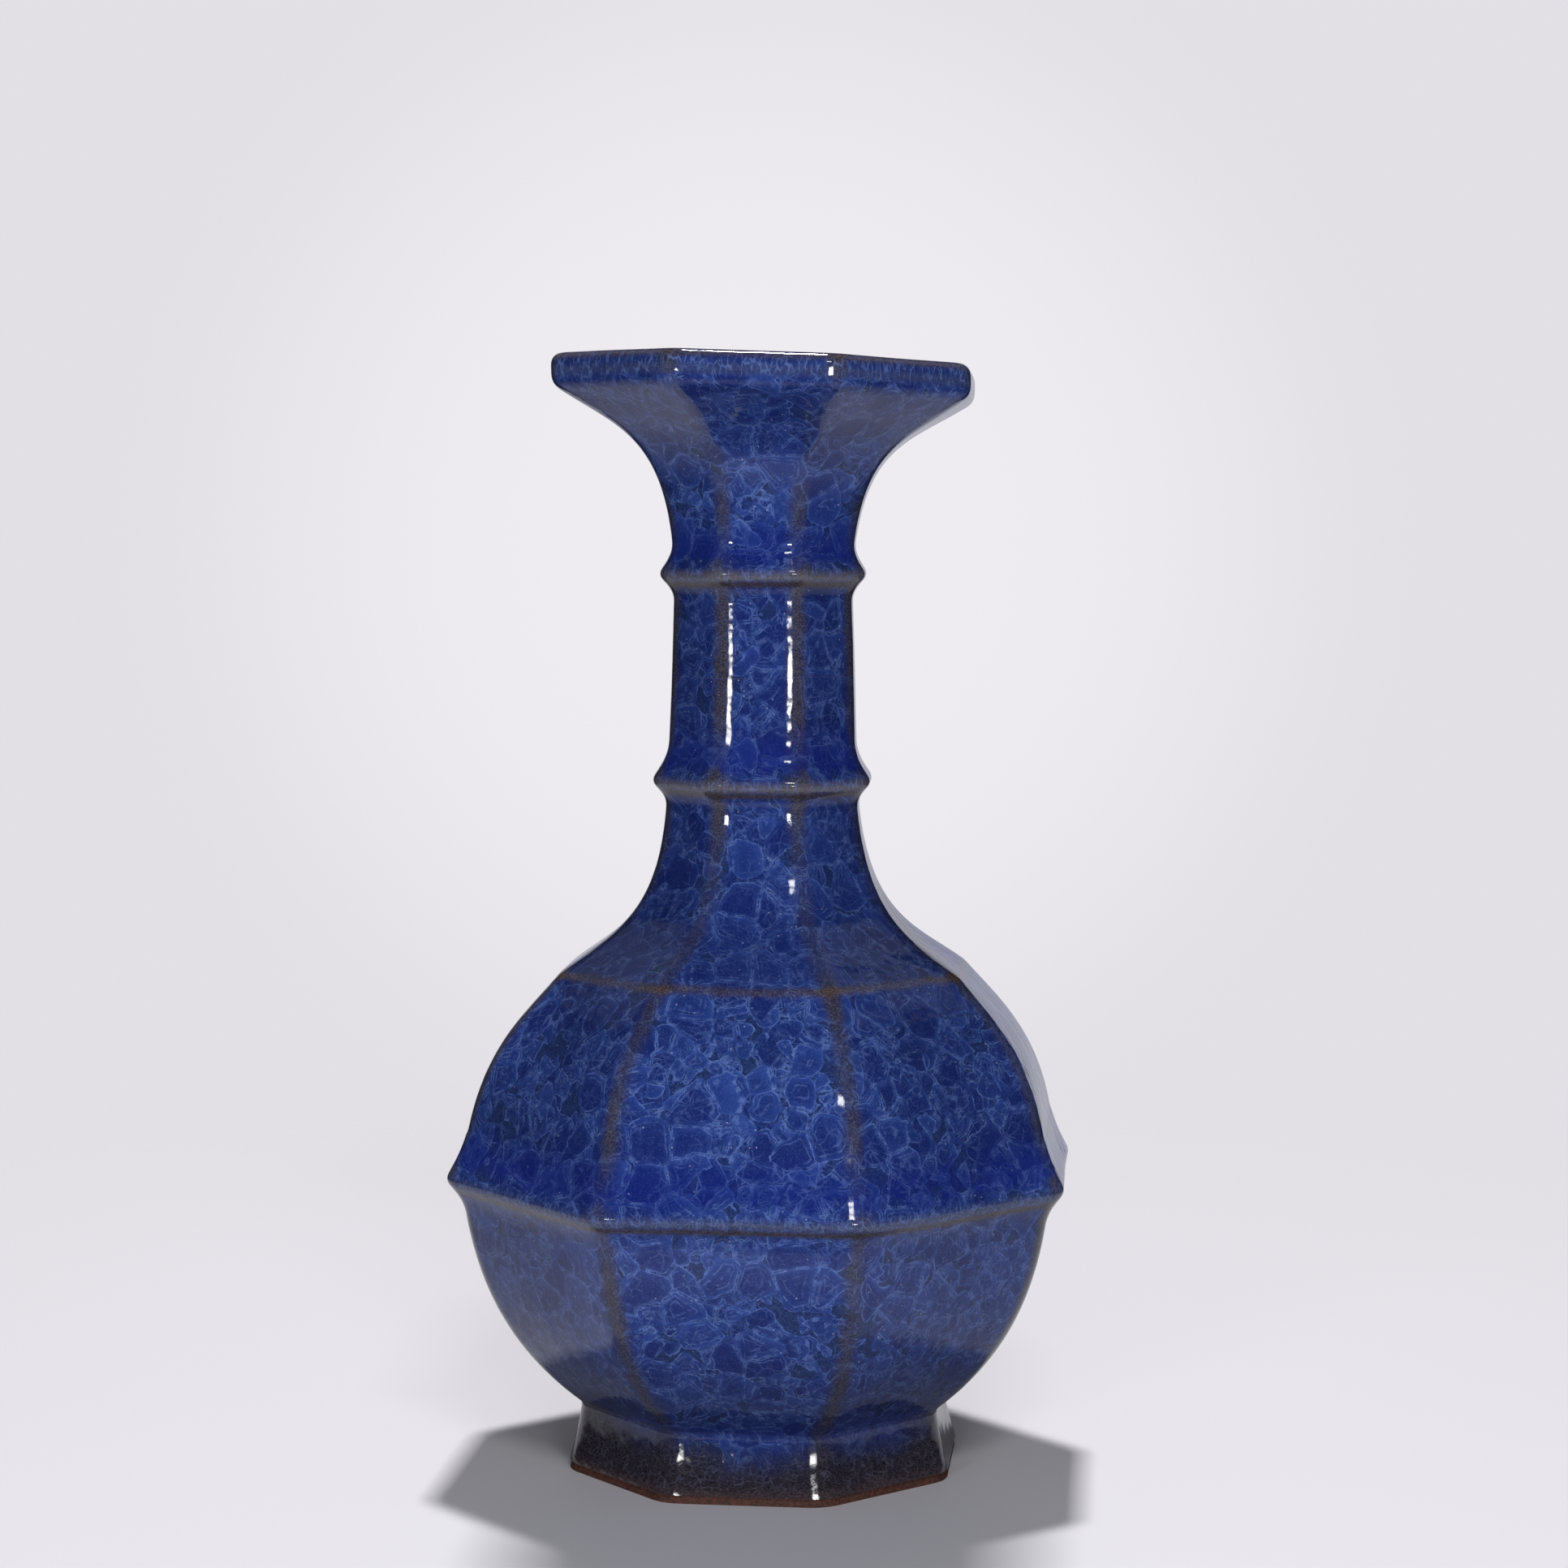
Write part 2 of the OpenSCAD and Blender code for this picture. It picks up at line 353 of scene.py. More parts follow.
# A graph of nodes, written from its inputs to its end
class Graph:
    def __init__(self, tree):
        self.tree = tree

    def fill(self, node, inputs):
        """Joins or sets inputs of a node, by their names or numbers."""
        for key, value in inputs.items():
            if isinstance(value, bpy.types.NodeSocket):
                self.tree.links.new(value, node.inputs[key])
            else:
                node.inputs[key].default_value = value

    def node(self, kind, inputs=(), out=0, **settings):
        """Adds a node, sets it, fills its inputs and gives one of its outputs."""
        node = self.tree.nodes.new(kind)
        for key, value in settings.items():
            setattr(node, key, value)
        self.fill(node, inputs if isinstance(inputs, dict) else dict(enumerate(inputs)))
        return node.outputs[out]

    def outputs(self, kind, inputs=()):
        return self.node(kind, inputs).node.outputs

    def maths(self, operation, *values, **settings):
        return self.node("ShaderNodeMath", values, operation=operation, **settings)

    def chain(self, operation, values):
        """All the values taken together, one after the other."""
        return reduce(lambda so_far, value: self.maths(operation, so_far, value), values)

    def add(self, *values):
        return self.chain("ADD", values)

    def times(self, *values):
        return self.chain("MULTIPLY", values)

    def most(self, *values):
        return self.chain("MAXIMUM", values)

    def minus(self, a, b):
        return self.maths("SUBTRACT", a, b)

    def rest(self, share):
        """What a share leaves of the whole."""
        return self.minus(1, share)

    def size_of(self, value):
        """The value without its sign."""
        return self.maths("ABSOLUTE", value)

    def rise(self, value, low, high, to_low=0, to_high=1, shape="SMOOTHSTEP"):
        """Goes smoothly from to_low to to_high as the value goes from low to high."""
        return self.node("ShaderNodeMapRange", {0: value, 1: low, 2: high, 3: to_low, 4: to_high},
                         interpolation_type=shape)

    def fall(self, value, low, high, size=1):
        """Goes smoothly from its size to 0 as the value goes from low to high."""
        return self.rise(value, low, high, size, 0)

    def between(self, value, start, end):
        """1 between two edges and 0 outside them, with a smooth run across each."""
        return self.times(self.rise(value, *start), self.fall(value, *end))

    def bump_at(self, value, centre, reach):
        """1 where the value is at the centre, falling smoothly to 0 within the reach."""
        return self.fall(self.size_of(self.minus(value, centre)), 0, reach)

    def vector(self, operation, *values):
        return self.node("ShaderNodeVectorMath", values, operation=operation)

    def dot(self, a, b):
        return self.node("ShaderNodeVectorMath", [a, b], out="Value", operation="DOT_PRODUCT")

    def scaled(self, vector, factor):
        return self.node("ShaderNodeVectorMath", {0: vector, "Scale": factor}, operation="SCALE")

    def in_units(self, place, size):
        """The place counted in cells of the given size."""
        return self.scaled(place, 1 / size)

    def point(self, x, y, z):
        return self.node("ShaderNodeCombineXYZ", [x, y, z])

    def parts(self, vector):
        return self.outputs("ShaderNodeSeparateXYZ", [vector])

    def colour_parts(self, colour):
        return self.outputs("ShaderNodeSeparateColor", [colour])

    def own_place(self):
        return self.node("ShaderNodeTexCoord", out="Object")

    def noise(self, place, size, detail=2, rough=0.5, out=0):
        """Noise whose lumps are about as large as the size, in metres."""
        inputs = {"Vector": place, "Scale": 1 / size, "Detail": detail, "Roughness": rough}
        return self.node("ShaderNodeTexNoise", inputs, out=out)

    def cells(self, place, feature="F1", out="Distance"):
        inputs = {"Vector": place, "Scale": 1, "Randomness": CELL_RANDOMNESS}
        return self.node("ShaderNodeTexVoronoi", inputs, out=out, feature=feature)

    def edges(self, place):
        """How far a place is from the nearest edge between two cells."""
        return self.cells(place, "DISTANCE_TO_EDGE")

    def cracks(self, place, low, high, size=1):
        """Thin lines along the edges of the cells."""
        return self.fall(self.edges(place), low, high, size)

    def blend(self, factor, a, b):
        """Colour a where the factor is 0 and colour b where it is 1."""
        return self.node("ShaderNodeMix", {0: factor, 6: a, 7: b}, out=2, data_type="RGBA")

    def relief(self, height, strength, distance):
        inputs = {"Strength": strength, "Distance": distance, "Height": height}
        return self.node("ShaderNodeBump", inputs)

    def end(self, kind, value):
        """Joins the last value of the graph to its end."""
        self.fill(self.tree.nodes.new(kind), {0: value})


# The small faults of handwork: the neck and mouth are twisted, the mouth tilts and has sunk
# a little, one of its corners is off its place, and the neck and foot sit off centre
TWIST_FROM_Z = CREASE_Z - 25 * MM
SHIFTED_CORNER = math.radians(-112.5)
HAND_FAULTS = {
    "Side turn": SIDE_TURN, "Neck twist": math.radians(3), "Mouth twist": math.radians(1.5),
    "Mouth tilt": math.radians(1.9), "Mouth sink": 1.7 * MM, "Corner shift": 2.4 * MM,
    "Neck shift": -0.5 * MM, "Foot shift": 0.2 * MM, "Wobble": 1.2 * MM, "Wobble size": 45 * MM,
}
POLE_GAP = 1e-6


# The tree that turns rings of points into a form with eight flat sides
def stored(g, name):
    return g.node("GeometryNodeInputNamedAttribute", {"Name": name}, data_type="FLOAT")


def turned(g, vector, angle):
    return g.node("ShaderNodeVectorRotate", {"Vector": vector, "Angle": angle},
                  rotation_type="Z_AXIS")


def regular_place(g, given):
    """Where a point lies on a true form, with flat sides and round corners."""
    corner_r, facing = stored(g, "corner_r"), stored(g, "facing")
    core = g.minus(stored(g, "half_width"), corner_r)
    half_turn = g.times(given["Side turn"], 0.5)
    across = g.times(core, stored(g, "share"), g.maths("TANGENT", half_turn))
    flat = turned(g, g.point(core, across, stored(g, "height")), facing)
    corner = turned(g, g.point(corner_r, 0.0, 0.0), g.add(facing, stored(g, "turn")))
    return g.vector("ADD", flat, corner)


def mouth_and_neck(g):
    """How much of the mouth's faults and of the neck's a point has, from its height."""
    height = stored(g, "height")
    in_mouth = g.rise(height, UPPER_RING_Z, FLARE_Z)
    in_neck = g.times(g.rise(height, TWIST_FROM_Z, LOWER_RING_Z), g.rest(in_mouth))
    return in_mouth, in_neck


def wobble(g, given):
    """The walls' small waves, which leave the foot's flat face alone."""
    inputs = {"Scale": g.maths("DIVIDE", 1, given["Wobble size"]), "Detail": 0}
    lumps = g.node("ShaderNodeTexNoise", inputs, out=1, noise_dimensions="3D")
    off_ground = g.rise(stored(g, "height"), 0, WAIST_H)
    return g.scaled(g.vector("SUBTRACT", lumps, MIDDLE), g.times(given["Wobble"], off_ground))


def fault_offset(g, given, in_mouth, in_neck):
    """How far the faults move a point that is already twisted."""
    x, y, _ = g.parts(g.node("GeometryNodeInputPosition"))
    from_corner = g.size_of(g.minus(g.maths("ARCTAN2", y, x), SHIFTED_CORNER))
    at_corner = g.rise(from_corner, 0, SIDE_TURN, 1, 0, "LINEAR")
    in_foot = g.fall(stored(g, "height"), 0, BELLY_Z)
    aside = g.add(g.times(in_foot, given["Foot shift"]), g.times(in_neck, given["Neck shift"]),
                  g.times(at_corner, in_mouth, given["Corner shift"]))
    drop = g.add(g.times(x, g.maths("TANGENT", given["Mouth tilt"])), given["Mouth sink"])
    offset = g.point(aside, 0.0, g.times(in_mouth, drop, -1))
    return g.vector("ADD", offset, wobble(g, given))


def new_tree():
    tree = bpy.data.node_groups.new("eight_sides", "GeometryNodeTree")
    tree.interface.new_socket("Geometry", in_out="INPUT", socket_type="NodeSocketGeometry")
    for name in HAND_FAULTS:
        tree.interface.new_socket(name, in_out="INPUT", socket_type="NodeSocketFloat")
    tree.interface.new_socket("Finish", in_out="INPUT", socket_type="NodeSocketMaterial")
    tree.interface.new_socket("Geometry", in_out="OUTPUT", socket_type="NodeSocketGeometry")
    return tree


def eight_sides_tree():
    tree = new_tree()
    g = Graph(tree)
    given = g.outputs("NodeGroupInput")
    in_mouth, in_neck = mouth_and_neck(g)
    twist = g.add(g.times(in_neck, given["Neck twist"]), g.times(in_mouth, given["Mouth twist"]))
    place = turned(g, regular_place(g, given), twist)
    form = g.node("GeometryNodeSetPosition", {"Geometry": given["Geometry"], "Position": place})
    offset = fault_offset(g, given, in_mouth, in_neck)
    form = g.node("GeometryNodeSetPosition", {"Geometry": form, "Offset": offset})
    form = g.node("GeometryNodeMergeByDistance", {"Geometry": form, "Distance": POLE_GAP})
    form = g.node("GeometryNodeRealizeInstances", {"Geometry": form})
    form = g.node("GeometryNodeSetMaterial", {"Geometry": form, "Material": given["Finish"]})
    g.end("NodeGroupOutput", form)
    return tree


eight_sides = eight_sides_tree()
SHARP_FROM = math.radians(55)


def vase_piece(node, finish, line, marks=None, closed=True):
    """A piece of the vase in the place of a node, formed from its outline."""
    piece = ring_mesh("shaped_" + node, line, marks or {}, closed)
    form = piece.modifiers.new("eight_sides", "NODES")
    form.node_group = eight_sides
    sockets = {s.name: s.identifier for s in eight_sides.interface.items_tree if s.in_out == "INPUT"}
    for name, value in HAND_FAULTS.items():
        form[sockets[name]] = value
    form[sockets["Finish"]] = finish
    bpy.context.view_layer.update()
    formed = piece.evaluated_get(bpy.context.evaluated_depsgraph_get())
    mesh = bpy.data.meshes.new_from_object(formed)
    piece.modifiers.remove(form)
    piece.data = mesh
    mesh.shade_smooth()
    mesh.set_sharp_from_angle(angle=SHARP_FROM)
    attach(piece, "root")
    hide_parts(node)
    return piece


# Finishes
def srgb(red, green, blue):
    """A colour from its values as a screen shows them, of 255."""
    def linear(value):
        value /= 255
        return value / 12.92 if value <= 0.04045 else ((value + 0.055) / 1.055) ** 2.4
    return (linear(red), linear(green), linear(blue), 1)


def new_finish(name):
    """An empty material, and the graph to write it in."""
    material = bpy.data.materials.new(name)
    material.use_nodes = True
    material.node_tree.nodes.clear()
    return material, Graph(material.node_tree)


def coat(g, colour, roughness, **others):
    """The shader of a finish, from its colour, its roughness and what else it needs."""
    inputs = {"Base Color": colour, "Roughness": roughness, **others}
    return g.node("ShaderNodeBsdfPrincipled", inputs)


# Tones of the glaze
GROUND_DARK = srgb(28, 43, 92)
GROUND_LIGHT = srgb(43, 62, 114)
FLAKE_DEEP = srgb(24, 40, 109)
FLAKE_LIGHT = srgb(47, 73, 150)
FLAKE_RIM = srgb(112, 140, 208)
GLAZE_POOL = srgb(17, 32, 124)
# Painted shade for the neck and shoulder, and for the vase's sides towards left and right
NECK_PAINTED_SHADE = srgb(10, 25, 86)
SIDE_PAINTED_SHADE = srgb(12, 20, 56)
# Painted glints
PAINTED_GLINT = srgb(200, 205, 222)
CORNER_DARK, CORNER_LIGHT = srgb(34, 34, 46), srgb(86, 80, 84)
CREASE_DARK, CREASE_LIGHT = srgb(44, 40, 46), srgb(98, 84, 78)
NOSE_DARK, NOSE_LIGHT = srgb(44, 54, 90), srgb(94, 100, 130)
BROWN_DARK, BROWN_LIGHT = srgb(38, 32, 34), srgb(86, 74, 70)
BURNT_DARK, BURNT_LIGHT = srgb(20, 17, 22), srgb(57, 52, 60)
THIN_DARK, THIN_LIGHT = srgb(44, 34, 36), srgb(84, 70, 72)
RING_LIGHT = srgb(116, 112, 118)
RUST = srgb(106, 70, 44)
# Painted glints in the thin glaze, and painted shade low on the foot
PAINTED_GOLD_GLINT = srgb(158, 146, 128)
FOOT_PAINTED_SHADE = srgb(12, 20, 54)
FOOT_WEB = srgb(92, 96, 118)

# Lumps of the noises that the tones follow, and spans of a noise that a tone fades over
FINE, SMALL, BROAD, ZONE = 0.45 * MM, 1.6 * MM, 7 * MM, 40 * MM
FINE_DETAIL, FINE_ROUGHNESS = 3, 0.7
BEND_SIZE, BEND = 7 * MM, 2.6 * MM
PATCH_SIZE, PATCH_SPAN, PATCH_LEAST = 2.4 * MM, (0.38, 0.62), 0.1
STREAK_SIZE, STREAK_SQUASH, SPECKLE_SPAN = 0.8 * MM, (1, 1, 3), (0.34, 0.68)
UNEVEN, UNEVEN_BROAD, UNEVEN_FINE = 4 * MM, 0.7, 0.5

# Heights that the zones of the glaze fade over
NECK_START = (CREASE_Z - 6 * MM, CREASE_Z + 12 * MM)
NECK_END = (UPPER_RING_Z, UPPER_RING_Z + 20 * MM)
SHOULDER_START = (CREASE_Z, CREASE_Z + 5 * MM)
SHOULDER_END = (LOWER_RING_Z - 28 * MM, LOWER_RING_Z - 8 * MM)
FLARE_START = (UPPER_RING_Z + 12 * MM, UPPER_RING_Z + 30 * MM)
RINGS_START = (CREASE_Z, LOWER_RING_Z - 20 * MM)

# Pools of deep glaze: where they start and end above a nose, and how far they wander
POOL_START, POOL_END, POOL_WANDER = (2 * MM, 6 * MM), (6 * MM, 20 * MM), 12 * MM
WAIST_POOL_AT, WAIST_POOL_REACH, WAIST_POOL = WAIST_H + 2 * MM, 7 * MM, 0.5
POOL_STRENGTH, POOL_ON_CORNER = 0.5, 0.8

# Thin glaze on the corners, which is wider at a nose and plainer on the flare and shoulder
CORNER_START, CORNER_REACH, CORNER_STRENGTH = 0.2 * MM, 4.2 * MM, 0.85
NEAR_BAND_START, NEAR_BAND_END, NEAR_BAND_WIDER = (-4.5 * MM, -2 * MM), (0, 5 * MM), 3 * MM
CORNER_ZONE_SPAN, CORNER_ZONE_LEAST = (0.3, 0.6), 0.4
PLAIN_FLARE, PLAIN_SHOULDER = 0.8, 0.5
CREASE_REACH, CREASE_WANDER = 2.6 * MM, 0.7
CREASE_FADE, CREASE_AT_CORNER, CREASE_ON_FLAT = (0, 12 * MM), 0.85, 0.55

# The lip's zone, from its top edge down, and how much its edge wanders
LIP_ZONE, LIP_WANDER = (7 * MM, 9 * MM), 0.4

# The burnt glaze: how high it runs up the foot, and how much higher beside the corners and
# towards both sides
BURNT_HEIGHT, BURNT_STRENGTH = (11 * MM, 24 * MM), 0.97
BURNT_WANDER, BURNT_ZONE = 1.6, 8 * MM
OFF_CORNER, HIGHER_AT_CORNER, HIGHER_ON_FLAT = (3 * MM, 15 * MM), 2 * MM, -2 * MM
LEFT_SPAN, HIGHER_AT_LEFT = (-40 * MM, -18 * MM), 7 * MM
RIGHT_SPAN, HIGHER_AT_RIGHT = (20 * MM, 34 * MM), 3 * MM


class Skin:
    """The skin of the vase as the glaze follows it: its places, marks, noises and zones."""

    def __init__(self, g):
        self.g = g
        self.at = g.own_place()
        bend = g.vector("SUBTRACT", g.noise(self.at, BEND_SIZE, 1, out=1), MIDDLE)
        self.place = g.vector("ADD", self.at, g.scaled(bend, BEND))
        self.aside, _, self.height = g.parts(self.at)
        self.corner_gap, self.band_gap = self.mark("corner_gap"), self.mark("band_gap")
        self.crease_gap, self.foot_gap = self.mark("crease_gap"), self.mark("foot_gap")
        self.make_noises()
        self.from_edge = g.add(g.size_of(self.mark("lip_gap")), g.times(self.uneven, LIP_WANDER))
        self.near_lip = g.fall(self.from_edge, *LIP_ZONE)
        self.pool = self.pooled()
        self.corner = self.thin_on_corners()
        self.crease = self.thin_on_crease()
        self.burnt = self.burnt_on_foot()

    def mark(self, key):
        return self.g.node("ShaderNodeAttribute", attribute_name=key, out="Fac")

    def make_noises(self):
        g, at = self.g, self.at
        self.fine = g.noise(at, FINE, FINE_DETAIL, FINE_ROUGHNESS)
        self.broad, self.zone = g.noise(at, BROAD), g.noise(at, ZONE)
        self.grain = g.add(g.times(self.fine, 0.5), g.times(g.noise(at, SMALL, FINE_DETAIL), 0.5))
        self.rough = g.minus(self.grain, MEAN)
        self.nested = g.minus(self.broad, MEAN)
        self.patchy = g.rise(g.noise(at, PATCH_SIZE, FINE_DETAIL), *PATCH_SPAN, PATCH_LEAST, 1)
        squashed = g.vector("MULTIPLY", at, STREAK_SQUASH)
        self.streaks = g.noise(squashed, STREAK_SIZE, FINE_DETAIL, FINE_ROUGHNESS)
        self.speckled = g.rise(self.streaks, *SPECKLE_SPAN)
        fine = g.times(g.minus(self.fine, MEAN), UNEVEN_FINE)
        self.uneven = g.times(g.add(g.times(self.nested, UNEVEN_BROAD), fine), UNEVEN)

    def speckle(self, dark, light):
        return self.g.blend(self.speckled, dark, light)

    def pooled(self):
        """How much a place lies in a pool, above a band or at the waist."""
        g = self.g
        soft = g.add(self.band_gap, g.times(self.nested, POOL_WANDER))
        waist = g.bump_at(self.foot_gap, WAIST_POOL_AT, WAIST_POOL_REACH)
        return g.most(g.between(soft, POOL_START, POOL_END), g.times(waist, WAIST_POOL))

    def thin_on_corners(self):
        """How thin the glaze is for an upright corner, in patches."""
        g = self.g
        near_band = g.between(self.band_gap, NEAR_BAND_START, NEAR_BAND_END)
        reach = g.add(CORNER_REACH, g.times(near_band, NEAR_BAND_WIDER))
        gap = g.add(self.corner_gap, self.uneven)
        corner = g.fall(gap, CORNER_START, reach, CORNER_STRENGTH)
        unpooled = g.rest(g.times(self.pool, POOL_ON_CORNER))
        patches = g.rise(self.zone, *CORNER_ZONE_SPAN, CORNER_ZONE_LEAST, 1)
        on_flare = g.times(g.rise(self.height, *FLARE_START), g.rest(self.near_lip))
        on_shoulder = g.between(self.height, SHOULDER_START, SHOULDER_END)
        plainer = g.most(g.times(on_flare, PLAIN_FLARE), g.times(on_shoulder, PLAIN_SHOULDER))
        return g.times(corner, unpooled, patches, g.rest(plainer))

    def thin_on_crease(self):
        """How thin the glaze is along the crease, most of all beside a corner."""
        g = self.g
        gap = g.add(self.crease_gap, g.times(self.uneven, CREASE_WANDER))
        strength = g.rise(self.corner_gap, *CREASE_FADE, CREASE_AT_CORNER, CREASE_ON_FLAT)
        return g.times(g.bump_at(gap, 0, CREASE_REACH), strength)

    def burnt_on_foot(self):
        """How far the glaze above the bare edge has run out to black and brown."""
        g = self.g
        at_corner = g.rise(self.corner_gap, *OFF_CORNER, HIGHER_AT_CORNER, HIGHER_ON_FLAT)
        at_left = g.fall(self.aside, *LEFT_SPAN, HIGHER_AT_LEFT)
        at_right = g.rise(self.aside, *RIGHT_SPAN, 0, HIGHER_AT_RIGHT)
        wander = g.add(g.times(self.uneven, BURNT_WANDER), g.times(self.zone, BURNT_ZONE))
        up_foot = g.minus(g.add(self.foot_gap, wander), g.add(at_corner, at_left, at_right))
        return g.fall(up_foot, *BURNT_HEIGHT, BURNT_STRENGTH)


# Layers of crackle, each over the one before: size of a cell, share of the cells that hold a
# flake, and how much a flake hides. The shift keeps the layers from matching.
FLAKE_LAYERS = (
    (5 * MM, 0.62, 0.75),
    (12 * MM, 0.4, 0.65),
    (6.6 * MM, 0.55, 0.8),
    (5.6 * MM, 0.22, 0.8),
    (9.2 * MM, 0.5, 0.85),
)
LAYER_SHIFT = (3.7, 5.3, 7.1)

# A flake's outline in its cell, as shares of the cell, and its ragged edge in millimetres
FLAKE_REACH, FLAKE_MORE_REACH = 0.7, 0.26
FLAKE_GAP, FLAKE_ROUNDING = 0.004, 0.03
FLAKE_LEAN = 0.32
RAGGED = 1.6

# The bright rim inside a flake's edge, in millimetres, and the rays from its middle
RIM_AT, RIM_REACH = 0.17, 0.28
RAY_SCALE, RAY_SHIFT = 1.6, 9
RAY_WIDTH, RAY_STRENGTH, RAY_CHANCE = (0.01, 0.06), 0.5, (0.45, 0.6)

# The cracks inside a flake that follow its edge: their depth and how much more it may be, the
# chances that decide this and whether a crack shows, and its strength
NESTED_CRACKS = (
    {"depth": 0.1, "more": 0.06, "more_by": "Blue",
     "shown_by": "Green", "shown": (0.2, 0.5), "strength": 0.7},
    {"depth": 0.22, "more": 0.08, "more_by": "Green",
     "shown_by": "Blue", "shown": (0.25, 0.5), "strength": 0.55},
)
CRACK_REACH = 0.26

# What makes a flake lighter or darker: chance, painted light and shade that make it lighter towards
# one fixed side, mostly upwards, its glowing edge, its inside, grain
SHADE_FROM, SHADE_CHANCE = -0.16, 0.7
LIT_SIDE, LIT_SIDE_STRENGTH = (0.45, 0.2, 0.6), 0.55
GLOW_REACH, SHADE_GLOW = 1.7, 0.5
NESTED_FROM, NESTED_REACH, SHADE_NESTED = 0.1, 1.5, -0.1
SHADE_GRAIN = 1.3

# How a flake and its shadow fade in across their edges, in millimetres inwards
COVER_FADE, SHADOW_FADE = (-0.1, 0.2), (-1.6, 0.1)
SHADOW_STRENGTH, RIM_STRENGTH, BURIED_RIM = 0.26, 0.64, 0.6
GROUND_SPAN = (0.34, 0.66)


class Flakes:
    """One layer of crackle: a flake in each chosen cell, with its rim and inner cracks."""

    def __init__(self, g, skin, size, seed):
        self.g, self.size, self.rough = g, size, skin.rough
        shift = [seed * step for step in LAYER_SHIFT]
        self.place = g.vector("ADD", g.in_units(skin.place, size), shift)
        cell = g.cells(self.place).node.outputs
        self.colour = cell["Color"]
        self.chance = g.colour_parts(self.colour)
        self.from_middle = g.vector("SUBTRACT", self.place, cell["Position"])
        self.depth = self.depth_inside(cell["Distance"])
        side = g.vector("SUBTRACT", self.colour, MIDDLE)
        self.nested = g.add(self.depth, g.times(g.dot(self.from_middle, side), FLAKE_LEAN))

    def mm(self, length):
        """A length in millimetres as a share of the layer's cell."""
        return length * MM / self.size

    def depth_inside(self, from_middle):
        """How far a place lies inside the ragged edge of its flake."""
        g = self.g
        reach = g.add(FLAKE_REACH, g.times(self.chance["Green"], FLAKE_MORE_REACH))
        in_round = g.minus(reach, from_middle)
        depth = g.maths("SMOOTH_MIN", g.edges(self.place), in_round, FLAKE_ROUNDING)
        return g.add(depth, -FLAKE_GAP, g.times(self.rough, self.mm(RAGGED)))

    def rays(self):
        """Cracks that run out from the middle of some flakes."""
        g = self.g
        away = g.vector("NORMALIZE", self.from_middle)
        way = g.vector("ADD", away, g.scaled(self.colour, RAY_SHIFT))
        ray = g.cracks(g.scaled(way, RAY_SCALE), *RAY_WIDTH, RAY_STRENGTH)
        return g.times(ray, g.rise(self.chance["Green"], *RAY_CHANCE))

    def nested_crack(self, depth, more, more_by, shown_by, shown, strength):
        """A crack that follows the edge, nearer to it on one side than on the other."""
        g = self.g
        depth = g.add(depth, g.times(self.chance[more_by], more))
        crack = g.bump_at(self.nested, depth, self.mm(CRACK_REACH))
        return g.times(crack, g.rise(self.chance[shown_by], *shown, 0, strength))

    def lines(self):
        """The rim and all the cracks inside it."""
        g = self.g
        rim = g.bump_at(self.depth, self.mm(RIM_AT), self.mm(RIM_REACH))
        nested = [self.nested_crack(**crack) for crack in NESTED_CRACKS]
        return g.most(rim, self.rays(), *nested)

    def tone(self):
        """The colour of a flake, made lighter or darker at each place."""
        g = self.g
        by_chance = g.add(SHADE_FROM, g.times(self.chance["Blue"], SHADE_CHANCE))
        # Painted light and shade: each flake lighter towards one fixed side, mostly upwards
        painted_lit_side = g.times(g.dot(self.from_middle, LIT_SIDE), LIT_SIDE_STRENGTH)
        glow = g.fall(self.depth, 0, self.mm(GLOW_REACH), SHADE_GLOW)
        nested = g.rise(self.nested, NESTED_FROM, NESTED_FROM + self.mm(NESTED_REACH), 0, SHADE_NESTED)
        shade = g.add(by_chance, painted_lit_side, glow, nested, g.times(self.rough, SHADE_GRAIN))
        return g.blend(g.maths("ADD", shade, 0, use_clamp=True), FLAKE_DEEP, FLAKE_LIGHT)

    def cover(self, fade, amount):
        """Where the flakes lie, in the share of the cells that hold one."""
        g = self.g
        present = g.maths("LESS_THAN", self.chance["Red"], amount)
        return g.times(g.rise(self.depth, *map(self.mm, fade)), present)


def crackled(g, skin):
    """The ground with the layers of flakes on it, and how bright the rims are."""
    colour = g.blend(g.rise(skin.grain, *GROUND_SPAN), GROUND_DARK, GROUND_LIGHT)
    rims = 0.0
    for seed, (size, amount, body) in enumerate(FLAKE_LAYERS, 1):
        layer = Flakes(g, skin, size, seed)
        cover, shadow = layer.cover(COVER_FADE, amount), layer.cover(SHADOW_FADE, amount)
        rim = g.times(cover, g.times(layer.lines(), skin.patchy))
        colour = g.blend(g.times(shadow, SHADOW_STRENGTH), colour, GROUND_DARK)
        colour = g.blend(g.times(cover, body), colour, layer.tone())
        colour = g.blend(g.times(rim, RIM_STRENGTH), colour, FLAKE_RIM)
        rims = g.most(g.times(rims, BURIED_RIM), rim)
    return colour, rims


# Hair cracks, a haze of fine grains, and painted glints: white specks in clusters, and sparks along
# the rims
HAIR_SIZE, HAIR_WIDTH = 3.4 * MM, (0.015, 0.08)
HAIR_SPAN, HAIR_STRENGTH = (0.5, 0.62), 0.16
HAZE_SPAN, HAZE_STRENGTH = (0.5, 0.7), 0.16
GLINT_SIZE, GLINT_WIDTH, GLINT_STRENGTH = 1.5 * MM, (0.07, 0.18), 0.6
GLINT_ZONE, GLINT_SPAN = 9 * MM, (0.56, 0.64)
GLINT_SELDOM, GLINT_OFTEN = 0.04, 0.34
SPARK_GRAIN, SPARK_ZONE, SPARK_RIM = (0.58, 0.68), (0.46, 0.6), (0.3, 0.8)
SPARK_STRENGTH = 0.5


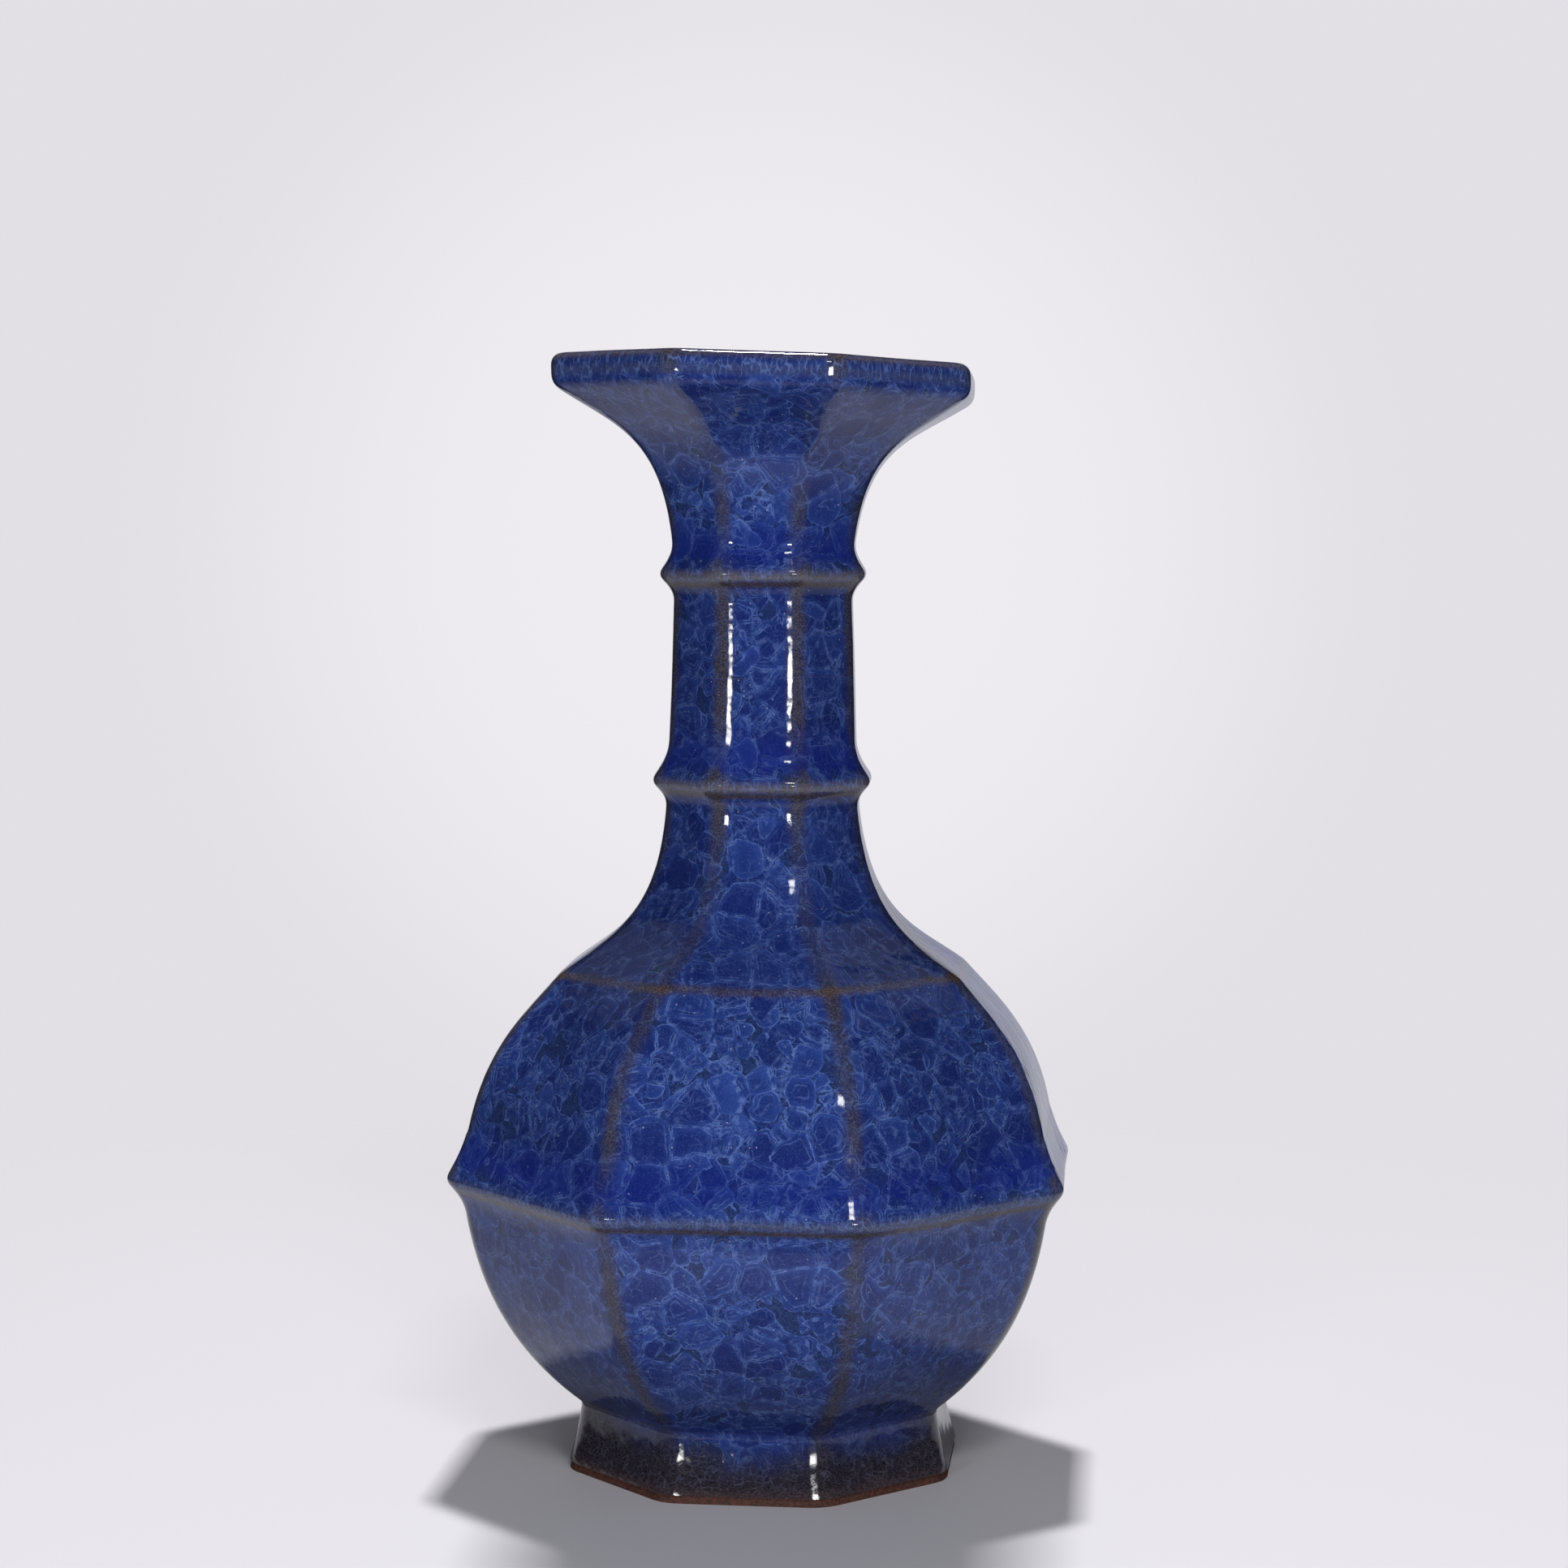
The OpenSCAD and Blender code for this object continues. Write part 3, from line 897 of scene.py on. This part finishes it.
def with_hair_cracks(g, skin, colour):
    hair = g.cracks(g.in_units(skin.place, HAIR_SIZE), *HAIR_WIDTH)
    hair = g.times(hair, g.rise(skin.broad, *HAIR_SPAN))
    colour = g.blend(g.times(hair, HAIR_STRENGTH), colour, FLAKE_RIM)
    return g.blend(g.rise(skin.fine, *HAZE_SPAN, 0, HAZE_STRENGTH), colour, FLAKE_RIM)


# Painted glints: white specks in clusters, and sparks along the bright rims
def with_glints(g, skin, colour, rims):
    glint_place = g.in_units(skin.at, GLINT_SIZE)
    chance = g.colour_parts(g.cells(glint_place, out="Color"))["Red"]
    often = g.rise(g.noise(skin.at, GLINT_ZONE), *GLINT_SPAN, GLINT_SELDOM, GLINT_OFTEN)
    grain = g.times(g.fall(g.cells(glint_place), *GLINT_WIDTH), g.maths("LESS_THAN", chance, often))
    spark = g.times(g.rise(skin.fine, *SPARK_GRAIN), g.rise(skin.broad, *SPARK_ZONE),
                    g.rise(rims, *SPARK_RIM))
    glints = g.most(g.times(grain, GLINT_STRENGTH), g.times(spark, SPARK_STRENGTH))
    return g.blend(glints, colour, PAINTED_GLINT)


# Painted shade: the neck darker, most of all beside the crease, and the vase's sides towards left and
# right darker, less so on the flare; then deeper glaze in pools and on the lip
LEVEL = (1, 1, 0)
BESIDE_CREASE = (CREASE_Z + 4 * MM, CREASE_Z + 24 * MM)
SHADE_AT_CREASE, SHADE_ON_NECK = 0.42, 0.2
SIDE_SPAN, SHADE_AT_SIDE = (0.42, 0.72), 0.26
SIDE_END, SIDE_ON_FLARE = (UPPER_RING_Z, UPPER_RING_Z + 12 * MM), 0.2
DEEP_ON_LIP = 0.6


def with_painted_shade_and_pools(g, skin, colour):
    # Painted shade on the neck and shoulder, most of all beside the crease
    on_neck = g.between(skin.height, NECK_START, NECK_END)
    shade_by_crease = g.rise(skin.height, *BESIDE_CREASE, SHADE_AT_CREASE, SHADE_ON_NECK)
    colour = g.blend(g.times(on_neck, shade_by_crease), colour, NECK_PAINTED_SHADE)
    # Painted shade on the sides that face left and right
    outward = g.vector("NORMALIZE", g.vector("MULTIPLY", skin.at, LEVEL))
    side_shade = g.rise(g.size_of(g.parts(outward)["X"]), *SIDE_SPAN, 0, SHADE_AT_SIDE)
    below_flare = g.rise(skin.height, *SIDE_END, 1, SIDE_ON_FLARE)
    colour = g.blend(g.times(side_shade, below_flare), colour, SIDE_PAINTED_SHADE)
    colour = g.blend(g.times(skin.pool, POOL_STRENGTH), colour, GLAZE_POOL)
    lip = g.blend(skin.grain, FLAKE_DEEP, GROUND_LIGHT)
    return g.blend(g.times(skin.near_lip, DEEP_ON_LIP), colour, lip)


# Rust where the crease meets a corner, and painted glints: light gold dots in the thin glaze
RUST_REACH, RUST_STRENGTH, RUST_SPAN = (0, 4 * MM), 0.6, (0.4, 0.6)
GLINT_DOTS_SPAN, GLINT_DOTS_STRENGTH, GLINT_DOTS_ON_CORNER = (0.55, 0.64), 0.6, 0.5


def with_thin_edges(g, skin, colour):
    """Grey-brown corners and crease, where the glaze is thin."""
    colour = g.blend(skin.corner, colour, skin.speckle(CORNER_DARK, CORNER_LIGHT))
    colour = g.blend(skin.crease, colour, skin.speckle(CREASE_DARK, CREASE_LIGHT))
    rusty = g.times(skin.crease, g.fall(skin.corner_gap, *RUST_REACH, RUST_STRENGTH),
                    g.rise(skin.streaks, *RUST_SPAN))
    colour = g.blend(rusty, colour, RUST)
    # Painted glints: light gold dots in the thin glaze of the crease and corners
    thin = g.most(skin.crease, g.times(skin.corner, GLINT_DOTS_ON_CORNER))
    glint_dots = g.times(thin, g.rise(skin.fine, *GLINT_DOTS_SPAN, 0, GLINT_DOTS_STRENGTH))
    return g.blend(glint_dots, colour, PAINTED_GOLD_GLINT)


# Each nose and the lip's roll: middle, reach, strength and how much they wander
NOSE_AT, NOSE_REACH, NOSE_STRENGTH, NOSE_WANDER = -1 * MM, 3 * MM, 0.8, 0.3
ROLL_AT, ROLL_REACH, ROLL_STRENGTH = 6.4 * MM, 2.2 * MM, 0.5


def with_pale_noses(g, skin, colour):
    nose = g.bump_at(g.add(skin.band_gap, g.times(skin.uneven, NOSE_WANDER)), NOSE_AT, NOSE_REACH)
    roll = g.bump_at(skin.from_edge, ROLL_AT, ROLL_REACH)
    pale = g.most(g.times(nose, NOSE_STRENGTH), g.times(roll, ROLL_STRENGTH))
    on_ring = g.times(g.rise(skin.height, *RINGS_START), g.rest(skin.near_lip))
    dark = g.blend(on_ring, NOSE_DARK, CORNER_LIGHT)
    light = g.blend(on_ring, NOSE_LIGHT, RING_LIGHT)
    return g.blend(pale, colour, skin.speckle(dark, light))


# Fine upright cracks on the lip and noses, with their cells counted for each metre
UPRIGHT_CELLS, UPRIGHT_WIDTH = (620, 620, 200), (0.02, 0.12)
AT_NOSE_START, AT_NOSE_END = (-3 * MM, -1.5 * MM), (0, 3 * MM)
UPRIGHT_ON_LIP, UPRIGHT_ON_NOSE = 0.46, 0.36


def with_upright_cracks(g, skin, colour):
    upright = g.cracks(g.vector("MULTIPLY", skin.place, UPRIGHT_CELLS), *UPRIGHT_WIDTH)
    at_nose = g.between(skin.band_gap, AT_NOSE_START, AT_NOSE_END)
    strength = g.most(g.times(skin.near_lip, UPRIGHT_ON_LIP), g.times(at_nose, UPRIGHT_ON_NOSE))
    return g.blend(g.times(upright, strength, skin.patchy), colour, FLAKE_RIM)


# Brown lines under each nose and on the lip's top edge
UNDER_AT, UNDER_REACH, UNDER_WANDER = -3.4 * MM, 1.8 * MM, 0.15
TOP_EDGE, TOP_EDGE_STRENGTH = (2.4 * MM, 4.4 * MM), 0.85
BROWN_STRENGTH = 0.85


def with_brown_lines(g, skin, colour):
    wandering = g.add(skin.band_gap, g.times(skin.uneven, UNDER_WANDER))
    under = g.bump_at(wandering, UNDER_AT, UNDER_REACH)
    edge = g.fall(skin.from_edge, *TOP_EDGE, TOP_EDGE_STRENGTH)
    brown = g.times(g.most(under, edge), BROWN_STRENGTH)
    return g.blend(brown, colour, skin.speckle(BROWN_DARK, BROWN_LIGHT))


# The foot: painted shade, darker towards the ground, a pale web in the burnt glaze, and the thin edge
# above bare clay
FOOT_SHADE_FADE, FOOT_SHADE_STRENGTH = (22 * MM, 60 * MM), 0.38
WEB_SIZE, WEB_WIDTH, WEB_STRENGTH = 2 * MM, (0.02, 0.09), 0.35
WEB_SPECK_SPAN, WEB_SPECK_STRENGTH = (0.6, 0.72), 0.5
THIN_FADE, THIN_STRENGTH = (BARE_EDGE_H, BARE_EDGE_H + 4 * MM), 0.8


def with_burnt_foot(g, skin, colour):
    # Painted shade: the glaze darker towards the ground
    colour = g.blend(g.fall(skin.foot_gap, *FOOT_SHADE_FADE, FOOT_SHADE_STRENGTH), colour, FOOT_PAINTED_SHADE)
    colour = g.blend(skin.burnt, colour, skin.speckle(BURNT_DARK, BURNT_LIGHT))
    web = g.times(g.cracks(g.in_units(skin.place, WEB_SIZE), *WEB_WIDTH), WEB_STRENGTH)
    web = g.most(web, g.rise(skin.fine, *WEB_SPECK_SPAN, 0, WEB_SPECK_STRENGTH))
    colour = g.blend(g.times(web, skin.burnt, skin.patchy), colour, FOOT_WEB)
    thin = g.fall(g.add(skin.foot_gap, skin.uneven), *THIN_FADE, THIN_STRENGTH)
    return g.blend(thin, colour, skin.speckle(THIN_DARK, THIN_LIGHT))


# The gloss, and the relief of the skin: slow waves, with grains in the thin and burnt glaze
GLAZE_ROUGHNESS, GLAZE_IOR = 0.06, 1.42
SLOW_WAVE, QUICK_WAVE, QUICK_STRENGTH = 14 * MM, 4 * MM, 0.6
GRAIN_RELIEF, CORNER_RELIEF, BURNT_RELIEF = 0.03, 0.05, 0.03
SKIN_STRENGTH, SKIN_DEPTH = 0.35, 0.6 * MM


def skin_relief(g, skin):
    quick = g.times(g.noise(skin.at, QUICK_WAVE, 1), QUICK_STRENGTH)
    waves = g.add(g.noise(skin.at, SLOW_WAVE, 1), quick, g.times(skin.fine, GRAIN_RELIEF))
    grains = g.most(g.times(skin.corner, CORNER_RELIEF), g.times(skin.burnt, BURNT_RELIEF))
    return g.relief(g.add(waves, g.times(skin.fine, grains)), SKIN_STRENGTH, SKIN_DEPTH)


def crackle_glaze(name):
    """The blue glaze, in the order in which its tones lie over each other."""
    material, g = new_finish(name)
    skin = Skin(g)
    colour, rims = crackled(g, skin)
    colour = with_hair_cracks(g, skin, colour)
    colour = with_glints(g, skin, colour, rims)
    for tone in (with_painted_shade_and_pools, with_thin_edges, with_pale_noses, with_upright_cracks,
                 with_brown_lines, with_burnt_foot):
        colour = tone(g, skin, colour)
    gloss = coat(g, colour, GLAZE_ROUGHNESS, IOR=GLAZE_IOR, Normal=skin_relief(g, skin))
    g.end("ShaderNodeOutputMaterial", gloss)
    return material


# The grain of bare clay and slip, and their dull, rough surface
CLAY_DETAIL, CLAY_NOISE_ROUGHNESS, CLAY_SPAN = 4, 0.65, (0.3, 0.7)
CLAY_ROUGHNESS = 0.8
CLAY_STRENGTH, CLAY_DEPTH = 0.5, 0.2 * MM


def clay_finish(name, dark, light, grain):
    """A dull clay that goes from a dark to a light tone in grains of the given size."""
    material, g = new_finish(name)
    speck = g.noise(g.own_place(), grain, CLAY_DETAIL, CLAY_NOISE_ROUGHNESS)
    colour = g.blend(g.rise(speck, *CLAY_SPAN), dark, light)
    dull = coat(g, colour, CLAY_ROUGHNESS, Normal=g.relief(speck, CLAY_STRENGTH, CLAY_DEPTH))
    g.end("ShaderNodeOutputMaterial", dull)
    return material


glaze = crackle_glaze("crackle_glaze")
bare_clay = clay_finish("bare_clay", srgb(42, 23, 19), srgb(88, 50, 40), 0.9 * MM)
clay = clay_finish("clay", srgb(98, 62, 46), srgb(130, 88, 66), 1.4 * MM)
slip = clay_finish("slip", srgb(140, 104, 80), srgb(164, 128, 100), 0.7 * MM)


# Pieces of the vase
def rounded_end(line, z):
    """The line with its lowest part drawn in, as the edge of a coat of glaze is."""
    up = np.clip((line[:, 1] - z) / GLAZE_T, 0, 1)
    drawn_in = GLAZE_T / 2 * (1 - np.sqrt(1 - (1 - up) ** 2))
    return line - np.column_stack([drawn_in, np.zeros(len(line))])


def outer_glaze():
    front = rounded_end(part_above(outside, BARE_EDGE_H)[::2], BARE_EDGE_H)
    back = spread(part_above(clay_shape[:crest + 1], BARE_EDGE_H), COARSE_STEP / 2)
    line = np.vstack([front, back[::-1]])
    marks, hidden = marks_of(front, -gone_along(front)[-1]), marks_of(back, FAR)
    marks = {key: np.concatenate([marks[key], hidden[key][::-1]]) for key in MARKS}
    return vase_piece("outer_glaze", glaze, line, marks)


def inner_glaze():
    front = np.vstack([inside[::2], [(0, inside[-1][1])]])
    back = spread(clay_inside, COARSE_STEP)
    back = np.vstack([back, [(0, back[-1][1])]])
    line = np.vstack([front[::-1], back])
    marks = far_marks(line)
    marks["lip_gap"][:len(front)] = gone_along(front)[::-1]
    return vase_piece("inner_glaze", glaze, line, marks, closed=False)


def base_glaze():
    front = spread(part_above(underside, BASE_BARE_H), COARSE_STEP / 2)
    back = spread(part_above(clay_underside, BASE_BARE_H), COARSE_STEP / 2)
    front[0][0] = back[0][0] = 0
    line = np.vstack([front, back[::-1]])
    return vase_piece("base_glaze", glaze, line, far_marks(line), closed=False)


def wall_section(node, finish, inner=clay_inside):
    low, high = lowest(node), highest(node)
    line = np.vstack([stretch(clay_outside, low, high), stretch(inner, low, high)[::-1]])
    return vase_piece(node, finish, line)


def floor_slab():
    side = stretch(clay_outside, FLOOR_UNDER_Z, FLOOR_TOP_Z)
    line = np.vstack([[(0, FLOOR_UNDER_Z)], side, [(0, FLOOR_TOP_Z)]])
    return vase_piece("base_floor", clay, line, closed=False)


def lip_section():
    return vase_piece("lip_rim", clay, part_above(clay_shape, FLARE_Z)[::2])


def band_piece(node, wall, sizes):
    low, high = wall[1] - sizes["below"], wall[1] + sizes["above"]
    outer = stretch(clay_shape[:crest], low, high, FINE_STEP)
    inner = stretch(clay_outside, low, high, FINE_STEP)
    stands = outer[:, 0] - inner[:, 0] > BAND_THINNEST
    line = np.vstack([outer[stands], inner[stands][::-1]])
    return vase_piece(node, clay, line)


CLAY_SECTIONS = ("lower_body", "upper_body", "neck_base", "neck_tube", "mouth_trumpet")
SLIP_LAYERS = ("bowl_slip", "belly_slip", "shoulder_slip", "lower_ring_slip", "upper_ring_slip",
               "lip_slip")
BAND_NODES = ("belly_ridge", "lower_neck_ring", "upper_neck_ring")

outer_glaze()
inner_glaze()
base_glaze()
wall_section("foot_ring", bare_clay, clay_underside)
wall_section("foot_slip", slip, clay_underside)
floor_slab()
for section in CLAY_SECTIONS:
    wall_section(section, clay)
for layer in SLIP_LAYERS:
    wall_section(layer, slip)
lip_section()
for node, (wall, sizes) in zip(BAND_NODES, BANDS):
    band_piece(node, wall, sizes)


# Camera, as it stood for the photograph
CAMERA_AZIMUTH = math.radians(6.42)
CAMERA_DISTANCE = 0.9175
CAMERA_HEIGHT = 0.25
CAMERA_PITCH = math.radians(4.086)
CAMERA_YAW = math.radians(-0.31)
CAMERA_ROLL = math.radians(-0.14)
CAMERA_LENS = 77.94
CAMERA_SENSOR = 36
CAMERA_NEAREST = 0.01

# Tones of the floor and backdrop as the camera sees them, as they send light back to the
# vase, and as they are mirrored in it
PAPER = srgb(222, 220, 225)
PAPER_BOUNCED = srgb(136, 135, 140)
PAPER_MIRRORED = srgb(198, 197, 203)
BACKDROP = srgb(226, 224, 229)
HALO = srgb(238, 236, 240)
BACKDROP_MIRRORED = srgb(194, 194, 204)
HALO_EDGE, HALO_MIDDLE = math.cos(math.radians(11)), math.cos(math.radians(1))
DIM_LIGHT, DIM_STRENGTH = (1, 1, 1.03, 1), 0.06

# The floor, which fades into the backdrop away from the vase and towards the camera
FLOOR_RADIUS = 6
FLOOR_FADE, FLOOR_FRONT_FADE = (0.26, 0.7), (0.2, 0.5)
FLOOR_ROUGHNESS, FLOOR_SPECULAR = 0.9, 0.1

# The curtain, with angles from the camera's side and from the level of the ground
CURTAIN_RADIUS, CURTAIN_STEPS, CURTAIN_RINGS = 3.0, 72, 28
CURTAIN_FROM, CURTAIN_RISE = -50, 140
OPEN_FROM, OPEN_BELOW = 160, 30
CURTAIN_COLOUR, CURTAIN_ROUGHNESS = (0.02, 0.02, 0.02, 1), 1


def direction(azimuth, elevation=0):
    """The way from the vase towards an azimuth, counted from the camera's side."""
    around, up = CAMERA_AZIMUTH + math.radians(azimuth), math.radians(elevation)
    level = math.cos(up)
    return Vector((math.sin(around) * level, -math.cos(around) * level, math.sin(up)))


# The stage
def grid_disc(name, radius, rings=24, steps=64):
    verts = [(0, 0, 0)]
    for i in range(1, rings + 1):
        r = radius * i / rings
        verts += [(r * math.cos(2 * math.pi * k / steps), r * math.sin(2 * math.pi * k / steps), 0)
                  for k in range(steps)]
    faces = [(0, 1 + k, 1 + (k + 1) % steps) for k in range(steps)]
    for i in range(rings - 1):
        a, b = 1 + i * steps, 1 + (i + 1) * steps
        faces += [(a + k, b + k, b + (k + 1) % steps, a + (k + 1) % steps) for k in range(steps)]
    mesh = bpy.data.meshes.new(name)
    mesh.from_pydata(verts, [], faces)
    return new_object(name, mesh)


def floor_finish():
    material, g = new_finish("floor")
    path = g.outputs("ShaderNodeLightPath")
    paper = g.blend(path["Is Diffuse Ray"], PAPER, PAPER_BOUNCED)
    paper = g.blend(path["Is Glossy Ray"], paper, PAPER_MIRRORED)
    solid = coat(g, paper, FLOOR_ROUGHNESS, **{"Specular IOR Level": FLOOR_SPECULAR})
    at = g.own_place()
    far = g.node("ShaderNodeVectorMath", [at], out="Value", operation="LENGTH")
    in_front = g.dot(at, direction(azimuth=0))
    gone = g.most(g.rise(far, *FLOOR_FADE), g.rise(in_front, *FLOOR_FRONT_FADE))
    clear = g.node("ShaderNodeBsdfTransparent")
    g.end("ShaderNodeOutputMaterial", g.node("ShaderNodeMixShader", [gone, solid, clear]))
    return material


def floor():
    disc = grid_disc("floor", FLOOR_RADIUS)
    disc.data.materials.append(floor_finish())


def curtain_faces(lifts, asides):
    """The curtain's faces, but for those low down behind the vase."""
    columns = len(asides)
    half_step = 180 / CURTAIN_STEPS
    faces = []
    for i, lift in enumerate(lifts[:-1]):
        for k, aside in enumerate(asides[:-1]):
            if abs(aside + half_step) > OPEN_FROM and lift < OPEN_BELOW:
                continue
            a = i * columns + k
            faces.append((a, a + 1, a + columns + 1, a + columns))
    return faces


def curtain():
    """A dark room round the vase, open behind it, seen only in reflections."""
    lifts = [CURTAIN_FROM + CURTAIN_RISE * i / CURTAIN_RINGS for i in range(CURTAIN_RINGS + 1)]
    asides = [-180 + 360 * k / CURTAIN_STEPS for k in range(CURTAIN_STEPS + 1)]
    verts = [direction(aside, lift) * CURTAIN_RADIUS for lift in lifts for aside in asides]
    mesh = bpy.data.meshes.new("curtain")
    mesh.from_pydata(verts, [], curtain_faces(lifts, asides))
    cloth = new_object("curtain", mesh)
    material, g = new_finish("curtain")
    g.end("ShaderNodeOutputMaterial", coat(g, CURTAIN_COLOUR, CURTAIN_ROUGHNESS))
    mesh.materials.append(material)
    cloth.visible_camera = False
    cloth.visible_diffuse = False
    cloth.visible_shadow = False
    cloth.visible_transmission = False


def camera():
    data = bpy.data.cameras.new("camera")
    data.lens = CAMERA_LENS
    data.sensor_width = CAMERA_SENSOR
    data.clip_start = CAMERA_NEAREST
    seen = new_object("camera", data)
    right = Vector((math.cos(CAMERA_YAW), math.sin(CAMERA_YAW), 0))
    level = Vector((-math.sin(CAMERA_YAW), math.cos(CAMERA_YAW), 0))
    up = level * math.sin(CAMERA_PITCH) + Vector((0, 0, math.cos(CAMERA_PITCH)))
    x_axis = right * math.cos(CAMERA_ROLL) - up * math.sin(CAMERA_ROLL)
    y_axis = right * math.sin(CAMERA_ROLL) + up * math.cos(CAMERA_ROLL)
    turn = Matrix((x_axis, y_axis, x_axis.cross(y_axis))).transposed().to_4x4()
    place = Matrix.Translation((0, -CAMERA_DISTANCE, CAMERA_HEIGHT)) @ turn
    seen.matrix_world = Matrix.Rotation(CAMERA_AZIMUTH, 4, "Z") @ place
    bpy.context.scene.camera = seen


# Soft boxes that show in the glaze as highlights: azimuth, elevation, distance, size,
# radiance, and for one of them the height that it is turned to
AIM_Z = 0.2
SOFT_BOXES = {
    "left_box": (-25, 2, 1.3, (0.26, 0.09), 42),
    "right_box": (13, 2, 1.3, (0.3, 0.1), 45),
    "right_high_box": (8, 36, 1.4, (0.36, 0.14), 28),
    "back_box": (180.5, 74.5, 2.4, (0.224, 0.224), 328, 0.1),
}

# Wide screens that light the vase but aren't mirrored in it, and dim glows that are only that
SCREENS = {
    "front_screen": (0, 5, 2.2, (1.2, 1.0), 2.3),
    "back_screen": (180, 5, 2.2, (1.2, 1.0), 1.7),
}
GLOWS = {
    "left_glow": (-138, 41, 1.5, (0.7, 0.55), 0.17),
    "right_glow": (124, 53, 1.5, (0.7, 0.55), 0.26),
}


def lamp(name, azimuth, elevation, distance, size, radiance, aim_z=AIM_Z):
    """A soft box round the vase, turned to a point on the vase's axis."""
    data = bpy.data.lights.new(name, "AREA")
    data.shape = "RECTANGLE"
    data.size, data.size_y = size
    data.energy = radiance * math.pi * size[0] * size[1]
    box = new_object(name, data)
    away = direction(azimuth, elevation)
    box.location = Vector((0, 0, aim_z)) + away * distance
    box.rotation_euler = away.to_track_quat("Z", "Y").to_euler()
    box.visible_camera = False
    return box


def lights():
    for name, setting in SOFT_BOXES.items():
        lamp(name, *setting)
    for name, setting in SCREENS.items():
        lamp(name, *setting).visible_glossy = False
    for name, setting in GLOWS.items():
        lamp(name, *setting).visible_diffuse = False


def world():
    """A pale backdrop with a halo behind the vase, and dim light from all round."""
    room = bpy.data.worlds.new("room")
    bpy.context.scene.world = room
    room.use_nodes = True
    room.node_tree.nodes.clear()
    g = Graph(room.node_tree)
    path = g.outputs("ShaderNodeLightPath")
    seen = g.most(path["Is Camera Ray"], path["Is Glossy Ray"], path["Is Transmission Ray"])
    straight = g.dot(g.node("ShaderNodeTexCoord", out="Generated"), -direction(azimuth=0))
    backdrop = g.blend(g.rise(straight, HALO_EDGE, HALO_MIDDLE), BACKDROP, HALO)
    backdrop = g.blend(path["Is Glossy Ray"], backdrop, BACKDROP_MIRRORED)
    pale = g.node("ShaderNodeBackground", {"Color": backdrop, "Strength": 1.0})
    dim = g.node("ShaderNodeBackground", {"Color": DIM_LIGHT, "Strength": DIM_STRENGTH})
    g.end("ShaderNodeOutputWorld", g.node("ShaderNodeMixShader", [seen, dim, pale]))


floor()
curtain()
camera()
lights()
world()
bpy.context.scene.view_settings.view_transform = "Standard"
